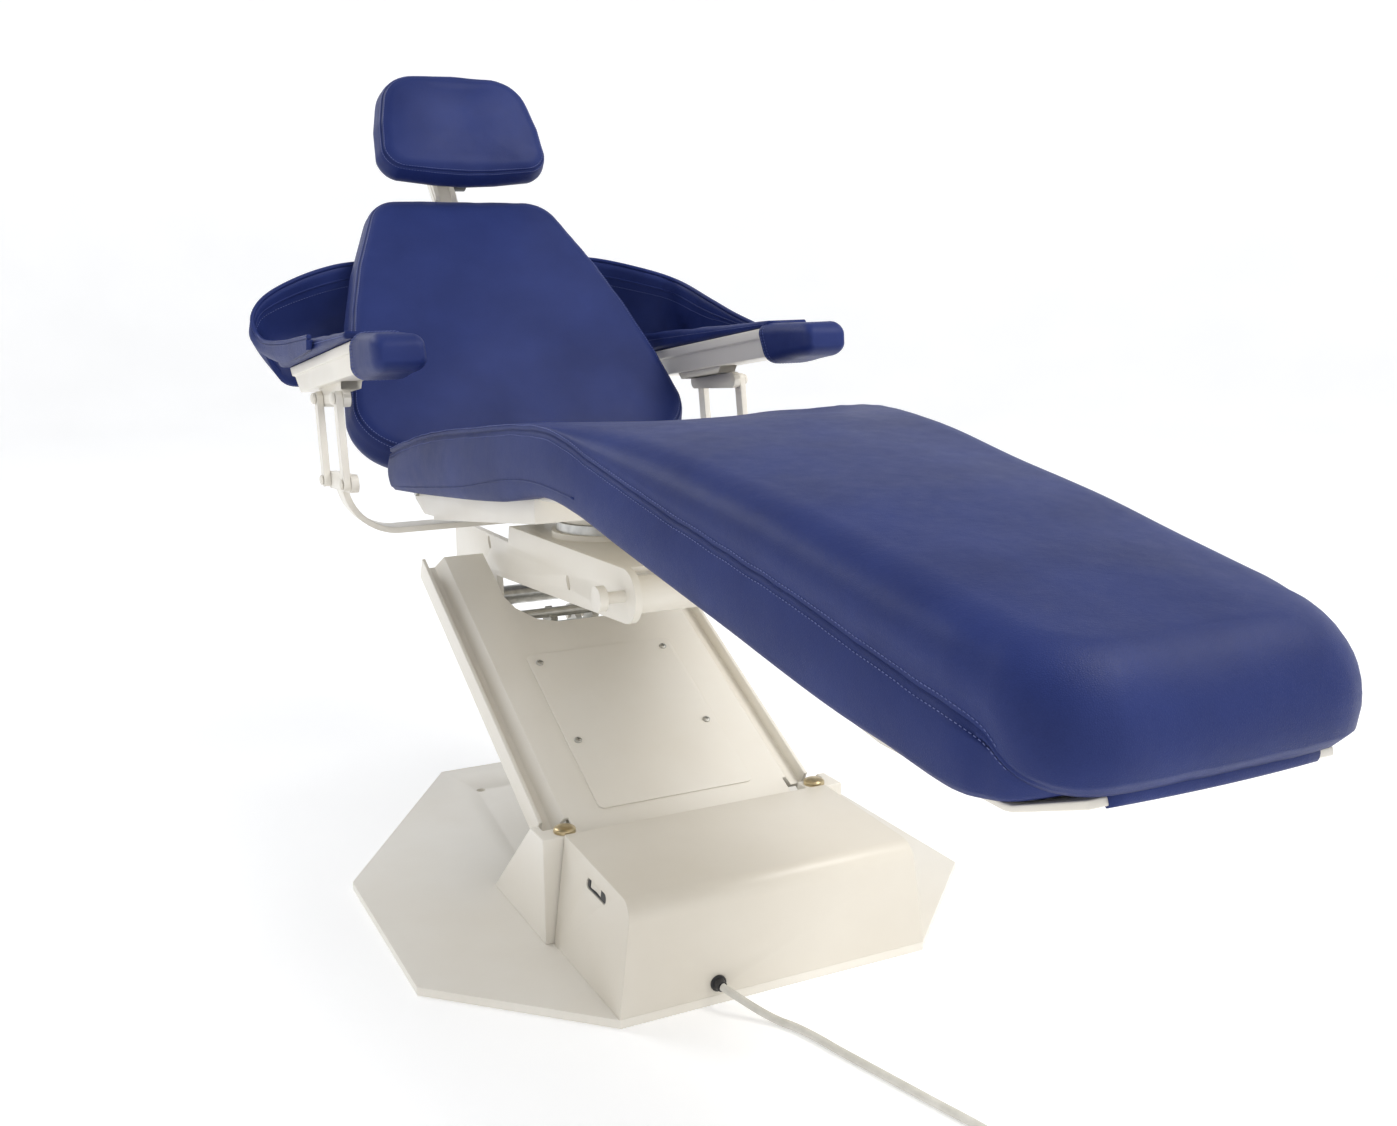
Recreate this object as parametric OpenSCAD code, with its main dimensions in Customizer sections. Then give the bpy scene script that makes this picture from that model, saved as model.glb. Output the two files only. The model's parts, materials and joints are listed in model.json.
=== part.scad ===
// Dental chair with a lift arm, reclining back, linked armrests and an adjustable headrest.
// The origin is on the floor, at the middle of the base plate. +Z is up and the toe end points to -Y.

/* [Base] */
// Half width of the octagonal base plate
plate_half_w = 356; // [340:1:370]
// Distance from the origin to the plate's front edge
plate_front = 406; // [400:1:412]
// Distance from the origin to the plate's back edge
plate_back = 405; // [380:1:430]
// Thickness of the base plate
plate_t = 10; // [8:0.5:12]
// Height of the pump cover's top
cover_h = 140; // [136:1:144]
// Wall thickness of the pump cover
cover_wall = 4; // [3:0.5:5]

/* [Lift] */
// Slope of the lift arm above the horizontal at rest
lift_angle = 27; // [26:0.5:28]
// Distance between the arm's two pivot axes
arm_len = 490; // [486:1:494]
// Half width of the arm cover
arm_half_w = 182; // [180:1:184]
// Radius of the two pivot shafts
shaft_r = 14; // [12:0.5:15]

/* [Seat and back] */
// Slope of the back above the horizontal at rest
back_angle = 47; // [45:1:49]
// Thickness of the back cushion
back_t = 56; // [50:1:60]
// Half width of the headrest
head_half_w = 137; // [120:1:145]

/* [Cord] */
// Diameter of the mains lead
cord_d = 8.5; // [8:0.5:9]

/* [Hidden] */
$fn = 48;

// Running clearance of every shaft in its bore, on the radius
fit = 0.05;

// Pivot axes run along X; each is [y, z]
lower_pivot = [-152, 84];
upper_pivot = lower_pivot + arm_len * [cos(lift_angle), sin(lift_angle)];
link_offset = [34, -46];
back_hinge = [290, 470];
tower_x = 187;
tower_t = 11;

// Lift arm, in its own frame: X across, Y along the arm, Z out of its upper face
arm_top = 48;
flange_low = 16;
notch_half_w = 92;

// Upper carriage
side_plate_x = 76;
side_plate_t = 9;
swivel_y = 60;

// Armrests: centre line, link positions and slope
arm_x = 283;
arm_slope = 7.6;
link_x = 300;
link_t = 9;
rear_top = [366, 597];
front_top = [242, 606];
link_drop = [-18, -112];
pin_r = 5;

// Back frame of reference: origin on the hinge, Y up the back, Z out of its face
face_z = 35;
back_low = 44;
back_high = 540;

module color_white() { color("#e9e4d8") children(); }
module color_blue() { color("#26367e") children(); }
module color_steel() { color("#a9a9a6") children(); }
module color_dark() { color("#3a3a3c") children(); }

// Cylinder along X from x0 to x1 at [y, z]
module x_rod(r, x0, x1, at) {
  translate([x0, at[0], at[1]]) rotate([0, 90, 0]) cylinder(r = r, h = x1 - x0);
}

// Outline drawn in [y, z], extruded along X from x0 to x1
module side_slab(x0, x1) {
  translate([x0, 0, 0]) rotate([90, 0, 90]) linear_extrude(x1 - x0) children();
}

// Outline drawn in [x, z], extruded along Y from y0 to y1
module front_slab(y0, y1) {
  translate([0, y1, 0]) rotate([90, 0, 0]) linear_extrude(y1 - y0) children();
}

// Child and its mirror image across the plane X = 0
module both_sides() {
  children();
  mirror([1, 0, 0]) children();
}

// Frame of a tilted assembly: origin at [y, z], turned about X
module tilted(at, angle) {
  translate([0, at[0], at[1]]) rotate([angle, 0, 0]) children();
}

// Rectangle with round corners, centred
module round_rect(w, h, r) {
  square([w - 2 * r, h], center = true);
  square([w, h - 2 * r], center = true);
  for (sx = [-1, 1], sy = [-1, 1]) translate([sx * (w / 2 - r), sy * (h / 2 - r)]) circle(r);
}

// Bar with round ends between two points of its outline plane
module link_outline(a, b, r) {
  d = b - a;
  translate(a) rotate(atan2(d[1], d[0])) {
    translate([0, -r]) square([norm(d), 2 * r]);
    circle(r);
    translate([norm(d), 0]) rotate(180) circle(r);
  }
}

function arc(c, r, a0, a1, n) =
  [for (i = [0 : n]) c + r * [cos(a0 + (a1 - a0) * i / n), sin(a0 + (a1 - a0) * i / n)]];

// Whole outline from its half on the +X side
function mirrored(half) =
  concat(half, [for (i = [len(half) - 1 : -1 : 0]) if (half[i][0] > 0) [-half[i][0], half[i][1]]]);

// ---- Base ----

plate_front_half = 188;
plate_back_half = 140;
plate_outline = [
  [-plate_front_half, -plate_front], [plate_front_half, -plate_front],
  [plate_half_w, -241], [plate_half_w, 62], [plate_back_half, plate_back],
  [-plate_back_half, plate_back], [-plate_half_w, 62], [-plate_half_w, -241]
];
anchor_x = 110;
anchor_y = [-340, 300];
anchor_r = 6.5;

module base_plate() {
  color_white() difference() {
    linear_extrude(plate_t) polygon(plate_outline);
    for (x = [-anchor_x, anchor_x], y = anchor_y)
      translate([x, y, -1]) cylinder(r = anchor_r, h = plate_t + 2);
  }
}

tower_front = -214;
tower_back = -30;
tower_top = cover_h - 3;
pad_len = 28;
bolt_x = 166;

// One pivot tower: a triangular gusset, a narrow front column and a bearing boss
module tower() {
  difference() {
    union() {
      side_slab(tower_x, tower_x + tower_t)
        polygon([[tower_front, plate_t], [tower_back, plate_t], [-172, tower_top],
          [tower_front, tower_top]]);
      translate([tower_x - 3, tower_front, plate_t]) cube([3, pad_len, tower_top - plate_t]);
      translate([tower_x - 22, tower_front, plate_t]) cube([23, 3, tower_top - plate_t - 4]);
      x_rod(24, tower_x - 3, tower_x + tower_t, lower_pivot);
    }
    x_rod(shaft_r, tower_x - 20, tower_x + tower_t - 4, lower_pivot);
  }
  translate([bolt_x - 16, tower_front, tower_top - 12]) cube([34, pad_len, 12]);
}

module tower_left() { color_white() mirror([1, 0, 0]) tower(); }
module tower_right() { color_white() tower(); }

module lower_pivot_shaft() {
  color_steel() x_rod(shaft_r, -tower_x - tower_t + 4, tower_x + tower_t - 4, lower_pivot);
}

// Pins that the parallel link's lower end turns on, each in an ear on the plate
anchor_pin = lower_pivot + link_offset;
module link_anchor() {
  both_sides() {
    color_white() difference() {
      side_slab(56, 68)
        polygon([[anchor_pin[0] - 26, plate_t], [anchor_pin[0] + 26, plate_t],
          [anchor_pin[0] + 14, anchor_pin[1] + 14], [anchor_pin[0] - 14, anchor_pin[1] + 14]]);
      x_rod(8, 50, 70, anchor_pin);
    }
    color_steel() x_rod(8, 41, 68, anchor_pin);
  }
}

cover_back = -216;
cover_top_half = 172;
cover_low_half = 190;

// Outer form of the cover, shrunk by inset on every wall but the open bottom
module cover_form(inset) {
  r = 22 - inset;
  top = cover_h - inset;
  front = -plate_front + inset;
  intersection() {
    side_slab(-250, 250)
      polygon(concat([[cover_back - inset, plate_t - inset], [front, plate_t - inset]],
        arc([front + r + 2, top - r - 7], r, 180, 100, 10), [[cover_back - inset, top]]));
    front_slab(-500, 0)
      polygon([[-cover_low_half + inset, 0], [cover_low_half - inset, 0],
        [cover_top_half - inset, cover_h + 1], [-cover_top_half + inset, cover_h + 1]]);
  }
}

slot_y = -316;
slot_z = 113;
slot_len = 54;
slot_h = 12;
gland_x = -75;
gland_z = 24;
gland_r = 8;
side_lean = atan((cover_low_half - cover_top_half) / (cover_h - plate_t));
side_x = cover_low_half - (cover_low_half - cover_top_half) * slot_z / (cover_h + 1);

// Frame of the switch: origin at its centre on the cover's side, Z out of the wall
module at_switch() {
  translate([-side_x, slot_y, slot_z]) rotate([0, side_lean, 0]) rotate([90, 0, -90]) children();
}

module pump_cover() {
  color_white() difference() {
    cover_form(0);
    cover_form(cover_wall);
    at_switch() translate([0, 0, -12]) linear_extrude(24) round_rect(slot_len, slot_h, 5.9);
    translate([gland_x, -plate_front - 10, gland_z]) rotate([-90, 0, 0]) cylinder(r = gland_r, h = 30);
  }
}

// Domed cap: a low cylinder under a slice of a sphere
module dome_cap(r, h) {
  rotate_extrude() polygon(concat([[0, 0], [r, 0], [r, h * 0.4]],
    [for (i = [1 : 8]) [r * cos(90 * i / 8), h * (0.4 + 0.6 * sin(90 * i / 8))]]));
}

module cover_bolts() {
  color("#b59a63") for (s = [-1, 1]) translate([s * bolt_x, -200, tower_top]) dome_cap(13, 8);
}

module switch_bezel() {
  color_dark() at_switch() difference() {
    translate([0, 0, -11]) linear_extrude(9) round_rect(slot_len - 0.4, slot_h - 0.4, 5.7);
    translate([-6, 0, -8]) linear_extrude(10) round_rect(30, 9, 2);
  }
}

module power_rocker() {
  color("#c9c6bd") at_switch() translate([-6, 0, -5.6]) rotate([90, 0, 0])
    translate([0, 0, -4]) linear_extrude(8)
      polygon([[-13, -0.6], [13, -0.6], [14, 2.9], [0, 1.7], [-14, 2.9]]);
}

module pump_motor() {
  color_dark() translate([-118, -300, 62]) rotate([0, 90, 0]) {
    cylinder(r = 44, h = 130);
    translate([0, 0, 130]) cylinder(r = 30, h = 12);
  }
  color_dark() translate([-100, -330, plate_t]) cube([90, 60, 16]);
}

module pump_manifold() {
  color_steel() {
    translate([24, -335, plate_t]) cube([56, 70, 84]);
    for (i = [0, 1]) translate([40 + 24 * i, -267, 46 + 22 * i]) rotate([-90, 0, 0]) cylinder(r = 9, h = 29);
  }
}

module oil_reservoir() {
  color("#d8d8cf") translate([122, -310, plate_t]) {
    cylinder(r = 40, h = 96);
    translate([0, 0, 96]) cylinder(r = 16, h = 12);
  }
}

module control_box() {
  color("#8d938c") translate([-150, -250, plate_t]) cube([130, 28, 76]);
}

// Lift cylinder: foot on the plate, rod pin in slotted lugs under the arm
cyl_foot = lower_pivot + [62, -48];
rod_pin_s = 400;
rod_end = lower_pivot + rod_pin_s * [cos(lift_angle), sin(lift_angle)];
cyl_vec = rod_end - cyl_foot;
cyl_angle = atan2(cyl_vec[1], cyl_vec[0]);
cyl_span = norm(cyl_vec);
barrel_len = 300;
rod_pin_r = 6;

module cylinder_bracket() {
  color_steel() {
    difference() {
      for (x = [-36, 26]) side_slab(x, x + 10)
        polygon([[cyl_foot[0] - 26, plate_t], [cyl_foot[0] + 26, plate_t],
          [cyl_foot[0] + 11, cyl_foot[1] + 11], [cyl_foot[0] - 11, cyl_foot[1] + 11]]);
      x_rod(7, -50, 50, cyl_foot);
    }
    x_rod(7, -40, 40, cyl_foot);
  }
}

// ---- Mains lead ----

// Route of the lead from the gland to the coil, in round numbers
cord_r = cord_d / 2;
cord_route = [
  [-75, -416, 24], [-70, -430, 21.5], [-60, -444, 15], [-49, -459, 8.5], [-39, -474, 4.6],
  [-30, -492, 4.3], [-21, -520, 4.3], [-14, -550, 4.3], [-6, -580, 4.3], [2, -610, 4.3],
  [10, -640, 4.3], [18, -670, 4.3], [26, -698, 4.3], [33, -726, 4.3], [36, -754, 4.3],
  [32, -780, 4.3], [20, -806, 4.3], [6, -826, 4.3], [-6, -840, 4.3]
];
coil_at = [40, -880];
coil_mean_r = 48;
coil_half_w = 17;
coil_h = 18;
cord_sides = 10;
cord_steps = 4;

// Point of a smooth curve through the route, at t from 0 to the last index
function clamp_i(i) = max(0, min(len(cord_route) - 1, i));
function curve_at(t) =
  let (i = min(floor(t), len(cord_route) - 2), f = t - i,
    a = cord_route[clamp_i(i - 1)], b = cord_route[i],
    c = cord_route[clamp_i(i + 1)], d = cord_route[clamp_i(i + 2)])
  0.5 * ((2 * b) + (c - a) * f + (2 * a - 5 * b + 4 * c - d) * f * f
    + (3 * b - 3 * c + d - a) * f * f * f);
function unit(v) = v / norm(v);
function cord_dir(t) =
  unit(curve_at(min(t + 0.05, len(cord_route) - 1)) - curve_at(max(t - 0.05, 0)));
function cord_ring(t) =
  let (d = t == 0 ? [0, -1, 0] : cord_dir(t), side = unit(cross(d, [0, 0, 1])), up = cross(side, d))
  [for (k = [0 : cord_sides - 1])
    curve_at(t) + cord_r * (cos(360 * k / cord_sides) * side + sin(360 * k / cord_sides) * up)];
cord_rings = (len(cord_route) - 1) * cord_steps;

module mains_cord() {
  pts = [for (i = [0 : cord_rings]) each cord_ring(i / cord_steps)];
  n = cord_sides;
  sides = [for (i = [0 : cord_rings - 1], k = [0 : n - 1])
    [i * n + k, i * n + (k + 1) % n, (i + 1) * n + (k + 1) % n, (i + 1) * n + k]];
  caps = [[for (k = [0 : n - 1]) n - 1 - k], [for (k = [0 : n - 1]) cord_rings * n + k]];
  color("#d9d6cd") polyhedron(points = pts, faces = concat(sides, caps), convexity = 10);
}

module cord_gland() {
  color_dark() translate([gland_x, -plate_front, gland_z]) rotate([90, 0, 0]) difference() {
    union() {
      translate([0, 0, -14]) cylinder(r = gland_r - 0.1, h = 14);
      cylinder(r = gland_r + 1, h = 1.6);
      rotate_extrude() polygon([[0, 0], [7, 0], [5.6, 10], [0, 10]]);
    }
    translate([0, 0, -20]) cylinder(r = cord_r, h = 40);
  }
}

module cord_coil() {
  color("#d9d6cd") translate([coil_at[0], coil_at[1], 0]) rotate_extrude()
    translate([coil_mean_r, coil_h / 2]) round_rect(2 * coil_half_w, coil_h, 6);
}

module cord_tie() {
  color_dark() translate([coil_at[0], coil_at[1] - coil_mean_r, coil_h / 2]) rotate([0, 90, 0])
    translate([0, 0, -6]) linear_extrude(12) difference() {
      translate([-0.8, 0]) square([coil_h + 1.6, 2 * coil_half_w + 4], center = true);
      square([coil_h, 2 * coil_half_w], center = true);
    }
}

// Plug lying on the coil: body, strain relief, two flat pins and a round one
module mains_plug() {
  translate([coil_at[0] - 44, coil_at[1] + 11, coil_h]) {
    color("#d9d6cd") {
      translate([0, -14, 0]) cube([30, 28, 24]);
      translate([30, 0, 12]) rotate([0, 90, 0]) cylinder(r1 = 8, r2 = 5, h = 14);
    }
    color_steel() {
      for (s = [-1, 1]) translate([-18, 6.5 * s - 0.8, 11]) cube([18, 1.6, 6.4]);
      translate([0, 0, 6]) rotate([0, -90, 0]) cylinder(r = 2.4, h = 20);
    }
  }
}

// ---- Lift arm ----

module at_arm() { tilted(lower_pivot, lift_angle) children(); }

frame_half_w = 140;

// Slot outline for the rod pin, upright in the arm, with room for its lost motion
module rod_slot(r) {
  translate([rod_pin_s, 0]) link_outline([1, -3], [-4, 9], r);
}

// Two side channels with a bearing tube at each end and a cross tube over the rod lugs
module lift_arm() {
  color_steel() at_arm() difference() {
    union() {
      both_sides() side_slab(frame_half_w - 12, frame_half_w)
        link_outline([0, 0], [arm_len, 0], 26);
      x_rod(22, -frame_half_w - 20, frame_half_w + 20, [0, 0]);
      both_sides() x_rod(22, 104, frame_half_w, [arm_len, 0]);
      both_sides() side_slab(26, 36) rod_slot(16);
      both_sides() for (x = [26, frame_half_w - 12]) side_slab(x, x + 10)
        translate([rod_pin_s - 14, 12]) square([28, 24]);
      x_rod(7, -frame_half_w, frame_half_w, [rod_pin_s, 36]);
    }
    x_rod(shaft_r + fit, -200, 200, [0, 0]);
    x_rod(shaft_r + fit, -200, 200, [arm_len, 0]);
    side_slab(-60, 60) rod_slot(rod_pin_r + 3);
  }
}

cover_t = 4;
groove_z = 26;
cover_front = -14;
cover_low = 18;
cover_high = 533;
notch_low = 366;

// Half section of the pressed cover: raised panel, a groove and an upright flange
cover_half = [
  [0, arm_top], [150, arm_top], [162, groove_z + 5], [arm_half_w - 5, groove_z + 5],
  [arm_half_w - 5, arm_top], [arm_half_w, arm_top], [arm_half_w, flange_low],
  [arm_half_w - 5, flange_low], [arm_half_w - 5, groove_z], [159, groove_z],
  [147, arm_top - cover_t], [0, arm_top - cover_t]
];

module arm_cover() {
  color_white() at_arm() difference() {
    union() {
      front_slab(cover_low, cover_high) polygon(mirrored(cover_half));
      translate([-145, cover_front, arm_top - cover_t]) cube([290, cover_low - cover_front + 1, cover_t]);
    }
    translate([0, 0, arm_top - 30]) linear_extrude(60)
      polygon(mirrored([[0, notch_low], [34, notch_low], [62, notch_low + 10], [84, notch_low + 38],
        [notch_half_w, notch_low + 64], [notch_half_w, 600]]));
  }
}

panel_mid = 162;
screw_x = 90;
screw_s = [136, 285];
module access_panel() {
  color_white() at_arm() translate([0, panel_mid, arm_top]) linear_extrude(2)
    round_rect(208, 282, 8);
}

module panel_screws() {
  color_steel() at_arm() for (x = [-screw_x, screw_x], y = screw_s)
    translate([x, y, arm_top + 2]) difference() {
      dome_cap(5, 3);
      for (a = [0, 90]) rotate(a) translate([-3, -0.6, 1.4]) cube([6, 1.2, 3]);
    }
}

module lift_cylinder() {
  color_dark() tilted(cyl_foot, cyl_angle) difference() {
    union() {
      side_slab(-19, 19) circle(14);
      translate([0, 8, 0]) rotate([-90, 0, 0]) cylinder(r = 22, h = barrel_len - 8);
    }
    x_rod(7 + fit, -40, 40, [0, 0]);
    translate([0, 40, 0]) rotate([-90, 0, 0]) cylinder(r = 12 + fit, h = barrel_len);
  }
}

module lift_rod() {
  color_steel() tilted(cyl_foot, cyl_angle) {
    translate([0, 150, 0]) rotate([-90, 0, 0]) cylinder(r = 12, h = cyl_span - 150);
    x_rod(14, -20, 20, [cyl_span, 0]);
    x_rod(rod_pin_r, -38, 38, [cyl_span, 0]);
  }
}

link_bar_x = 44;
module parallel_link() {
  color_steel() translate([0, link_offset[0], link_offset[1]]) at_arm() difference() {
    both_sides() side_slab(link_bar_x, link_bar_x + 9) link_outline([0, 0], [arm_len, 0], 14);
    x_rod(8 + fit, -60, 60, [0, 0]);
    x_rod(8 + fit, -60, 60, [arm_len, 0]);
  }
}

// ---- Carriage ----

module upper_pivot_shaft() {
  color_steel() x_rod(shaft_r, -frame_half_w - 2, frame_half_w + 2, upper_pivot);
}

link_top = upper_pivot + link_offset;
front_end = [-198, 404];
front_r = 32;
plate_back_low = [458, 330];
web_low = 416;

// Side plate: long tapered bar over the arm, lower behind the notch for the armrest bar,
// with an ear down to each pivot
module side_plate_outline() {
  polygon(concat([plate_back_low, [456, 396], [206, 400], [200, 423]],
    arc(front_end, front_r, 92, 266, 12)));
  link_outline(upper_pivot, upper_pivot + [4, 60], 26);
  link_outline(link_top, upper_pivot + [30, 50], 18);
}

module carriage() {
  color_white() difference() {
    union() {
      both_sides() side_slab(side_plate_x, side_plate_x + side_plate_t) side_plate_outline();
      side_slab(-side_plate_x, side_plate_x)
        polygon([[200, 423], [200, web_low], [-190, 428], [-190, 435]]);
      x_rod(22, -side_plate_x, side_plate_x, front_end);
      both_sides() {
        x_rod(7, side_plate_x, side_plate_x + 34, front_end);
        x_rod(15, side_plate_x + 34, side_plate_x + 44, front_end);
      }
      translate([0, swivel_y, 420]) cylinder(r = 70, h = 16);
    }
    x_rod(shaft_r, -300, 300, upper_pivot);
    x_rod(8, -300, 300, link_top);
    for (y = [-22, 290]) side_slab(-200, 200) link_outline([y - 2, 382], [y + 2, 390], 5);
  }
  color_steel() both_sides() x_rod(8, 41, side_plate_x + side_plate_t, link_top);
}

bearing_z = 436;
bearing_h = 12;
module swivel_bearing() {
  color_steel() translate([0, swivel_y, bearing_z]) difference() {
    cylinder(r = 64, h = bearing_h);
    translate([0, 0, -1]) cylinder(r = 24 + fit, h = bearing_h + 2);
  }
}

module swivel_brake() {
  color_dark() x_rod(14, 112, 150, [150, 392]);
  color_steel() x_rod(5, side_plate_x + side_plate_t, 112, [150, 392]);
}

// ---- Seat ----

// Seat frame: a box section under the seat, from its back edge to its front edge at [y, z]
slab_half_w = 186;
slab_back = [215, 438];
slab_front = [-190, 494];
slab_top_back = 480;
slab_top_front = 524.6;
slab_wall = 3;
recline_foot = [318, 428];

module seat_frame() {
  color_white() {
    difference() {
      union() {
        side_slab(-slab_half_w, slab_half_w)
          polygon([slab_back, [slab_back[0], slab_top_back], [slab_front[0], slab_top_front], slab_front]);
        translate([0, swivel_y, bearing_z + bearing_h + 0.2]) cylinder(r = 60, h = 22);
        translate([0, swivel_y, bearing_z + 1]) cylinder(r = 24, h = 40);
        both_sides() {
          side_slab(slab_half_w - 14, slab_half_w)
            polygon([[190, 445], [262, 440], [304, 456], [308, 474], [300, 486], [276, 486],
              [262, 474], [190, 474]]);
          side_slab(60, 84)
            polygon([[170, 446], [214, 436], [238, 420.2], [334, 420.2], [334, 438], [214, 456]]);
        }
      }
      x_rod(9, -300, 300, back_hinge);
      side_slab(-slab_half_w + slab_wall, slab_half_w - slab_wall)
        polygon([[slab_back[0] - 8, 456], [slab_back[0] - 8, slab_top_back - 6],
          [slab_front[0] + 8, slab_top_front - 8], [slab_front[0] + 8, 512]]);
    }
    x_rod(6, -60, 60, recline_foot);
  }
}

// Underside of the seat and leg cushion, from the toe to the back, at [y, z]
under_line = [[-984, 437], [-945, 421], [-812, 430], [-352, 532], [-300, 537.5], [256, 476.4]];

// Thin pan under the leg part, turned up at the toe
pan_t = 5;
module leg_pan() {
  top = [for (i = [4 : -1 : 1]) under_line[i] - [0, 0.8]];
  low = [for (i = [1 : 4]) under_line[i] - [0, 0.8 + pan_t]];
  color_white() intersection() {
    side_slab(-190, 190)
      polygon(concat([[-190, 524.8]], top, [[-988, 434], [-990, 428]], low, [[-190, 519.8]]));
    linear_extrude(700) polygon([[-178, -150], [178, -150], [190, -330], [138, -940],
      [104, -1000], [-104, -1000], [-138, -940], [-190, -330]]);
  }
}

// Upper line of the cushion, from the back over the bend to the toe
bend_angle = 98.9;
cushion_top = concat(
  [[262, 522]], arc([242, 522], 20, 0, 83, 4),
  arc([-330, 376], 238, 83, bend_angle, 8),
  arc([-943, 470], 50, bend_angle, 190, 8)
);

// Half outline of the seat from above, from the back to the toe
seat_half = concat(
  [[0, 262], [220, 262], [236, 246], [236, 120], [222, -160], [208, -330], [151, -900]],
  arc([89, -935], 62, 5, -90, 6), [[0, -997]]
);

module seat_cushion() {
  color_blue() intersection() {
    side_slab(-260, 260) polygon(concat(cushion_top, under_line, [[262, 482]]));
    linear_extrude(800) polygon(mirrored(seat_half));
  }
}

// ---- Back recline ----

// Recline cylinder: foot on the seat frame, rod pin in slotted lugs behind the back shell
recline_pin = [230, -52];
recline_end = back_hinge
  + [recline_pin[0] * cos(back_angle) - recline_pin[1] * sin(back_angle),
     recline_pin[0] * sin(back_angle) + recline_pin[1] * cos(back_angle)];
recline_vec = recline_end - recline_foot;
recline_angle = atan2(recline_vec[1], recline_vec[0]);
recline_span = norm(recline_vec);

module recline_cylinder() {
  color_dark() tilted(recline_foot, recline_angle) difference() {
    union() {
      side_slab(-9, 9) circle(11);
      translate([0, 6, 0]) rotate([-90, 0, 0]) cylinder(r = 13, h = 160);
    }
    x_rod(6 + fit, -30, 30, [0, 0]);
    translate([0, 20, 0]) rotate([-90, 0, 0]) cylinder(r = 7 + fit, h = 300);
  }
}

module recline_rod() {
  color_steel() tilted(recline_foot, recline_angle) {
    translate([0, 64, 0]) rotate([-90, 0, 0]) cylinder(r = 7, h = recline_span - 64);
    x_rod(9, -9, 9, [recline_span, 0]);
    x_rod(5, -20, 20, [recline_span, 0]);
  }
}

module hinge_pin() {
  color_steel() x_rod(9, -slab_half_w - 4, slab_half_w + 4, back_hinge);
}

// ---- Armrest brackets and links ----

bar_y = [284, 326];
bar_t = 8;
bar_z = 412;
elbow_x = 214;
elbow_r = 78;

// Flat bar under the seat frame, bent up at its end, with a plate for the two link pins
module arm_bracket() {
  difference() {
    union() {
      front_slab(bar_y[0], bar_y[1]) {
        translate([60, bar_z]) square([elbow_x - 60, bar_t]);
        intersection() {
          translate([elbow_x, bar_z + elbow_r]) difference() {
            circle(elbow_r);
            circle(elbow_r - bar_t);
          }
          translate([elbow_x, bar_z]) square([elbow_r, elbow_r]);
        }
      }
      side_slab(link_x - 16, link_x - 6)
        link_outline(rear_top + link_drop, front_top + link_drop, 12);
    }
    for (p = [rear_top, front_top]) x_rod(pin_r, 200, 400, p + link_drop);
  }
}

module bracket_pins() {
  for (p = [rear_top, front_top]) {
    x_rod(pin_r, link_x - 16, link_x + link_t - 4.5, p + link_drop);
    translate([link_x + link_t - 4.5, p[0] + link_drop[0], p[1] + link_drop[1]]) rotate([0, 90, 0])
      dome_cap(7, 4);
  }
}

module arm_bracket_right() {
  color_white() arm_bracket();
  color_steel() bracket_pins();
}
module arm_bracket_left() { mirror([1, 0, 0]) arm_bracket_right(); }

module link_bar(top) {
  difference() {
    side_slab(link_x - 5.5, link_x + 3.5) link_outline(top, top + link_drop, 9.5);
    x_rod(pin_r + fit, 200, 400, top);
    x_rod(pin_r + fit, 200, 400, top + link_drop);
  }
}

module rear_link_right() { color_white() link_bar(rear_top); }
module rear_link_left() { mirror([1, 0, 0]) rear_link_right(); }
module front_link_right() { color_white() link_bar(front_top); }
module front_link_left() { mirror([1, 0, 0]) front_link_right(); }

// Armrest frame: origin at the rear top pin, Y towards the back along the block
module at_armrest() { tilted(rear_top, -arm_slope) children(); }

block_low = 14;
block_h = 26;
cap_h = 14;
block_front = -290;
block_back = 140;

module arm_saddle_right() {
  color_white() difference() {
    union() {
      side_slab(link_x - 16, link_x - 6) link_outline(rear_top, front_top, 12);
      at_armrest() side_slab(link_x - 34, link_x - 6)
        polygon([[-118, 4], [8, 4], [18, block_low], [-128, block_low]]);
    }
    for (p = [rear_top, front_top]) x_rod(pin_r, 200, 400, p);
  }
  color_steel() for (p = [rear_top, front_top]) {
    x_rod(pin_r, link_x - 16, link_x + link_t - 4.5, p);
    translate([link_x + link_t - 4.5, p[0], p[1]]) rotate([0, 90, 0]) dome_cap(8, 6);
  }
}
module arm_saddle_left() { mirror([1, 0, 0]) arm_saddle_right(); }

module arm_block_right() {
  color_white() at_armrest() {
    side_slab(arm_x - 22, arm_x + 22) polygon([[block_front + 12, block_low], [block_back - 44, block_low],
      [block_back - 12, block_low + block_h], [block_front, block_low + block_h]]);
    side_slab(arm_x - 26, arm_x + 26) polygon([[block_front, block_low + block_h],
      [block_back - 12, block_low + block_h], [block_back, block_low + block_h + cap_h],
      [block_front, block_low + block_h + cap_h]]);
  }
}
module arm_block_left() { mirror([1, 0, 0]) arm_block_right(); }

sleeve_front = -414;
cap_top = block_low + block_h + cap_h;
sleeve_top = cap_top + 12;
pad_back = 150;

// Padded sleeve round the front of the block, and the pad that runs back over its cap
module arm_sleeve_right() {
  color_blue() at_armrest() {
    difference() {
      translate([arm_x, 0, 0]) intersection() {
        side_slab(-36, 36) polygon([[sleeve_front, 20], [sleeve_front + 20, 6], [-270, 2],
          [-270, sleeve_top], [-310, sleeve_top], [sleeve_front + 12, 58], [sleeve_front, 46]]);
        translate([0, (sleeve_front - 270) / 2, -10]) linear_extrude(120)
          round_rect(70, -270 - sleeve_front, 20);
      }
      translate([arm_x - 27, block_front - 1, block_low - 20]) cube([54, 80, block_h + cap_h + 21]);
    }
    side_slab(arm_x - 26, arm_x + 38)
      polygon([[-280, cap_top + 1], [pad_back, cap_top + 1], [pad_back, cap_top + 34], [-280, sleeve_top]]);
  }
}
module arm_sleeve_left() { mirror([1, 0, 0]) arm_sleeve_right(); }

// ---- Back ----

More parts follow.
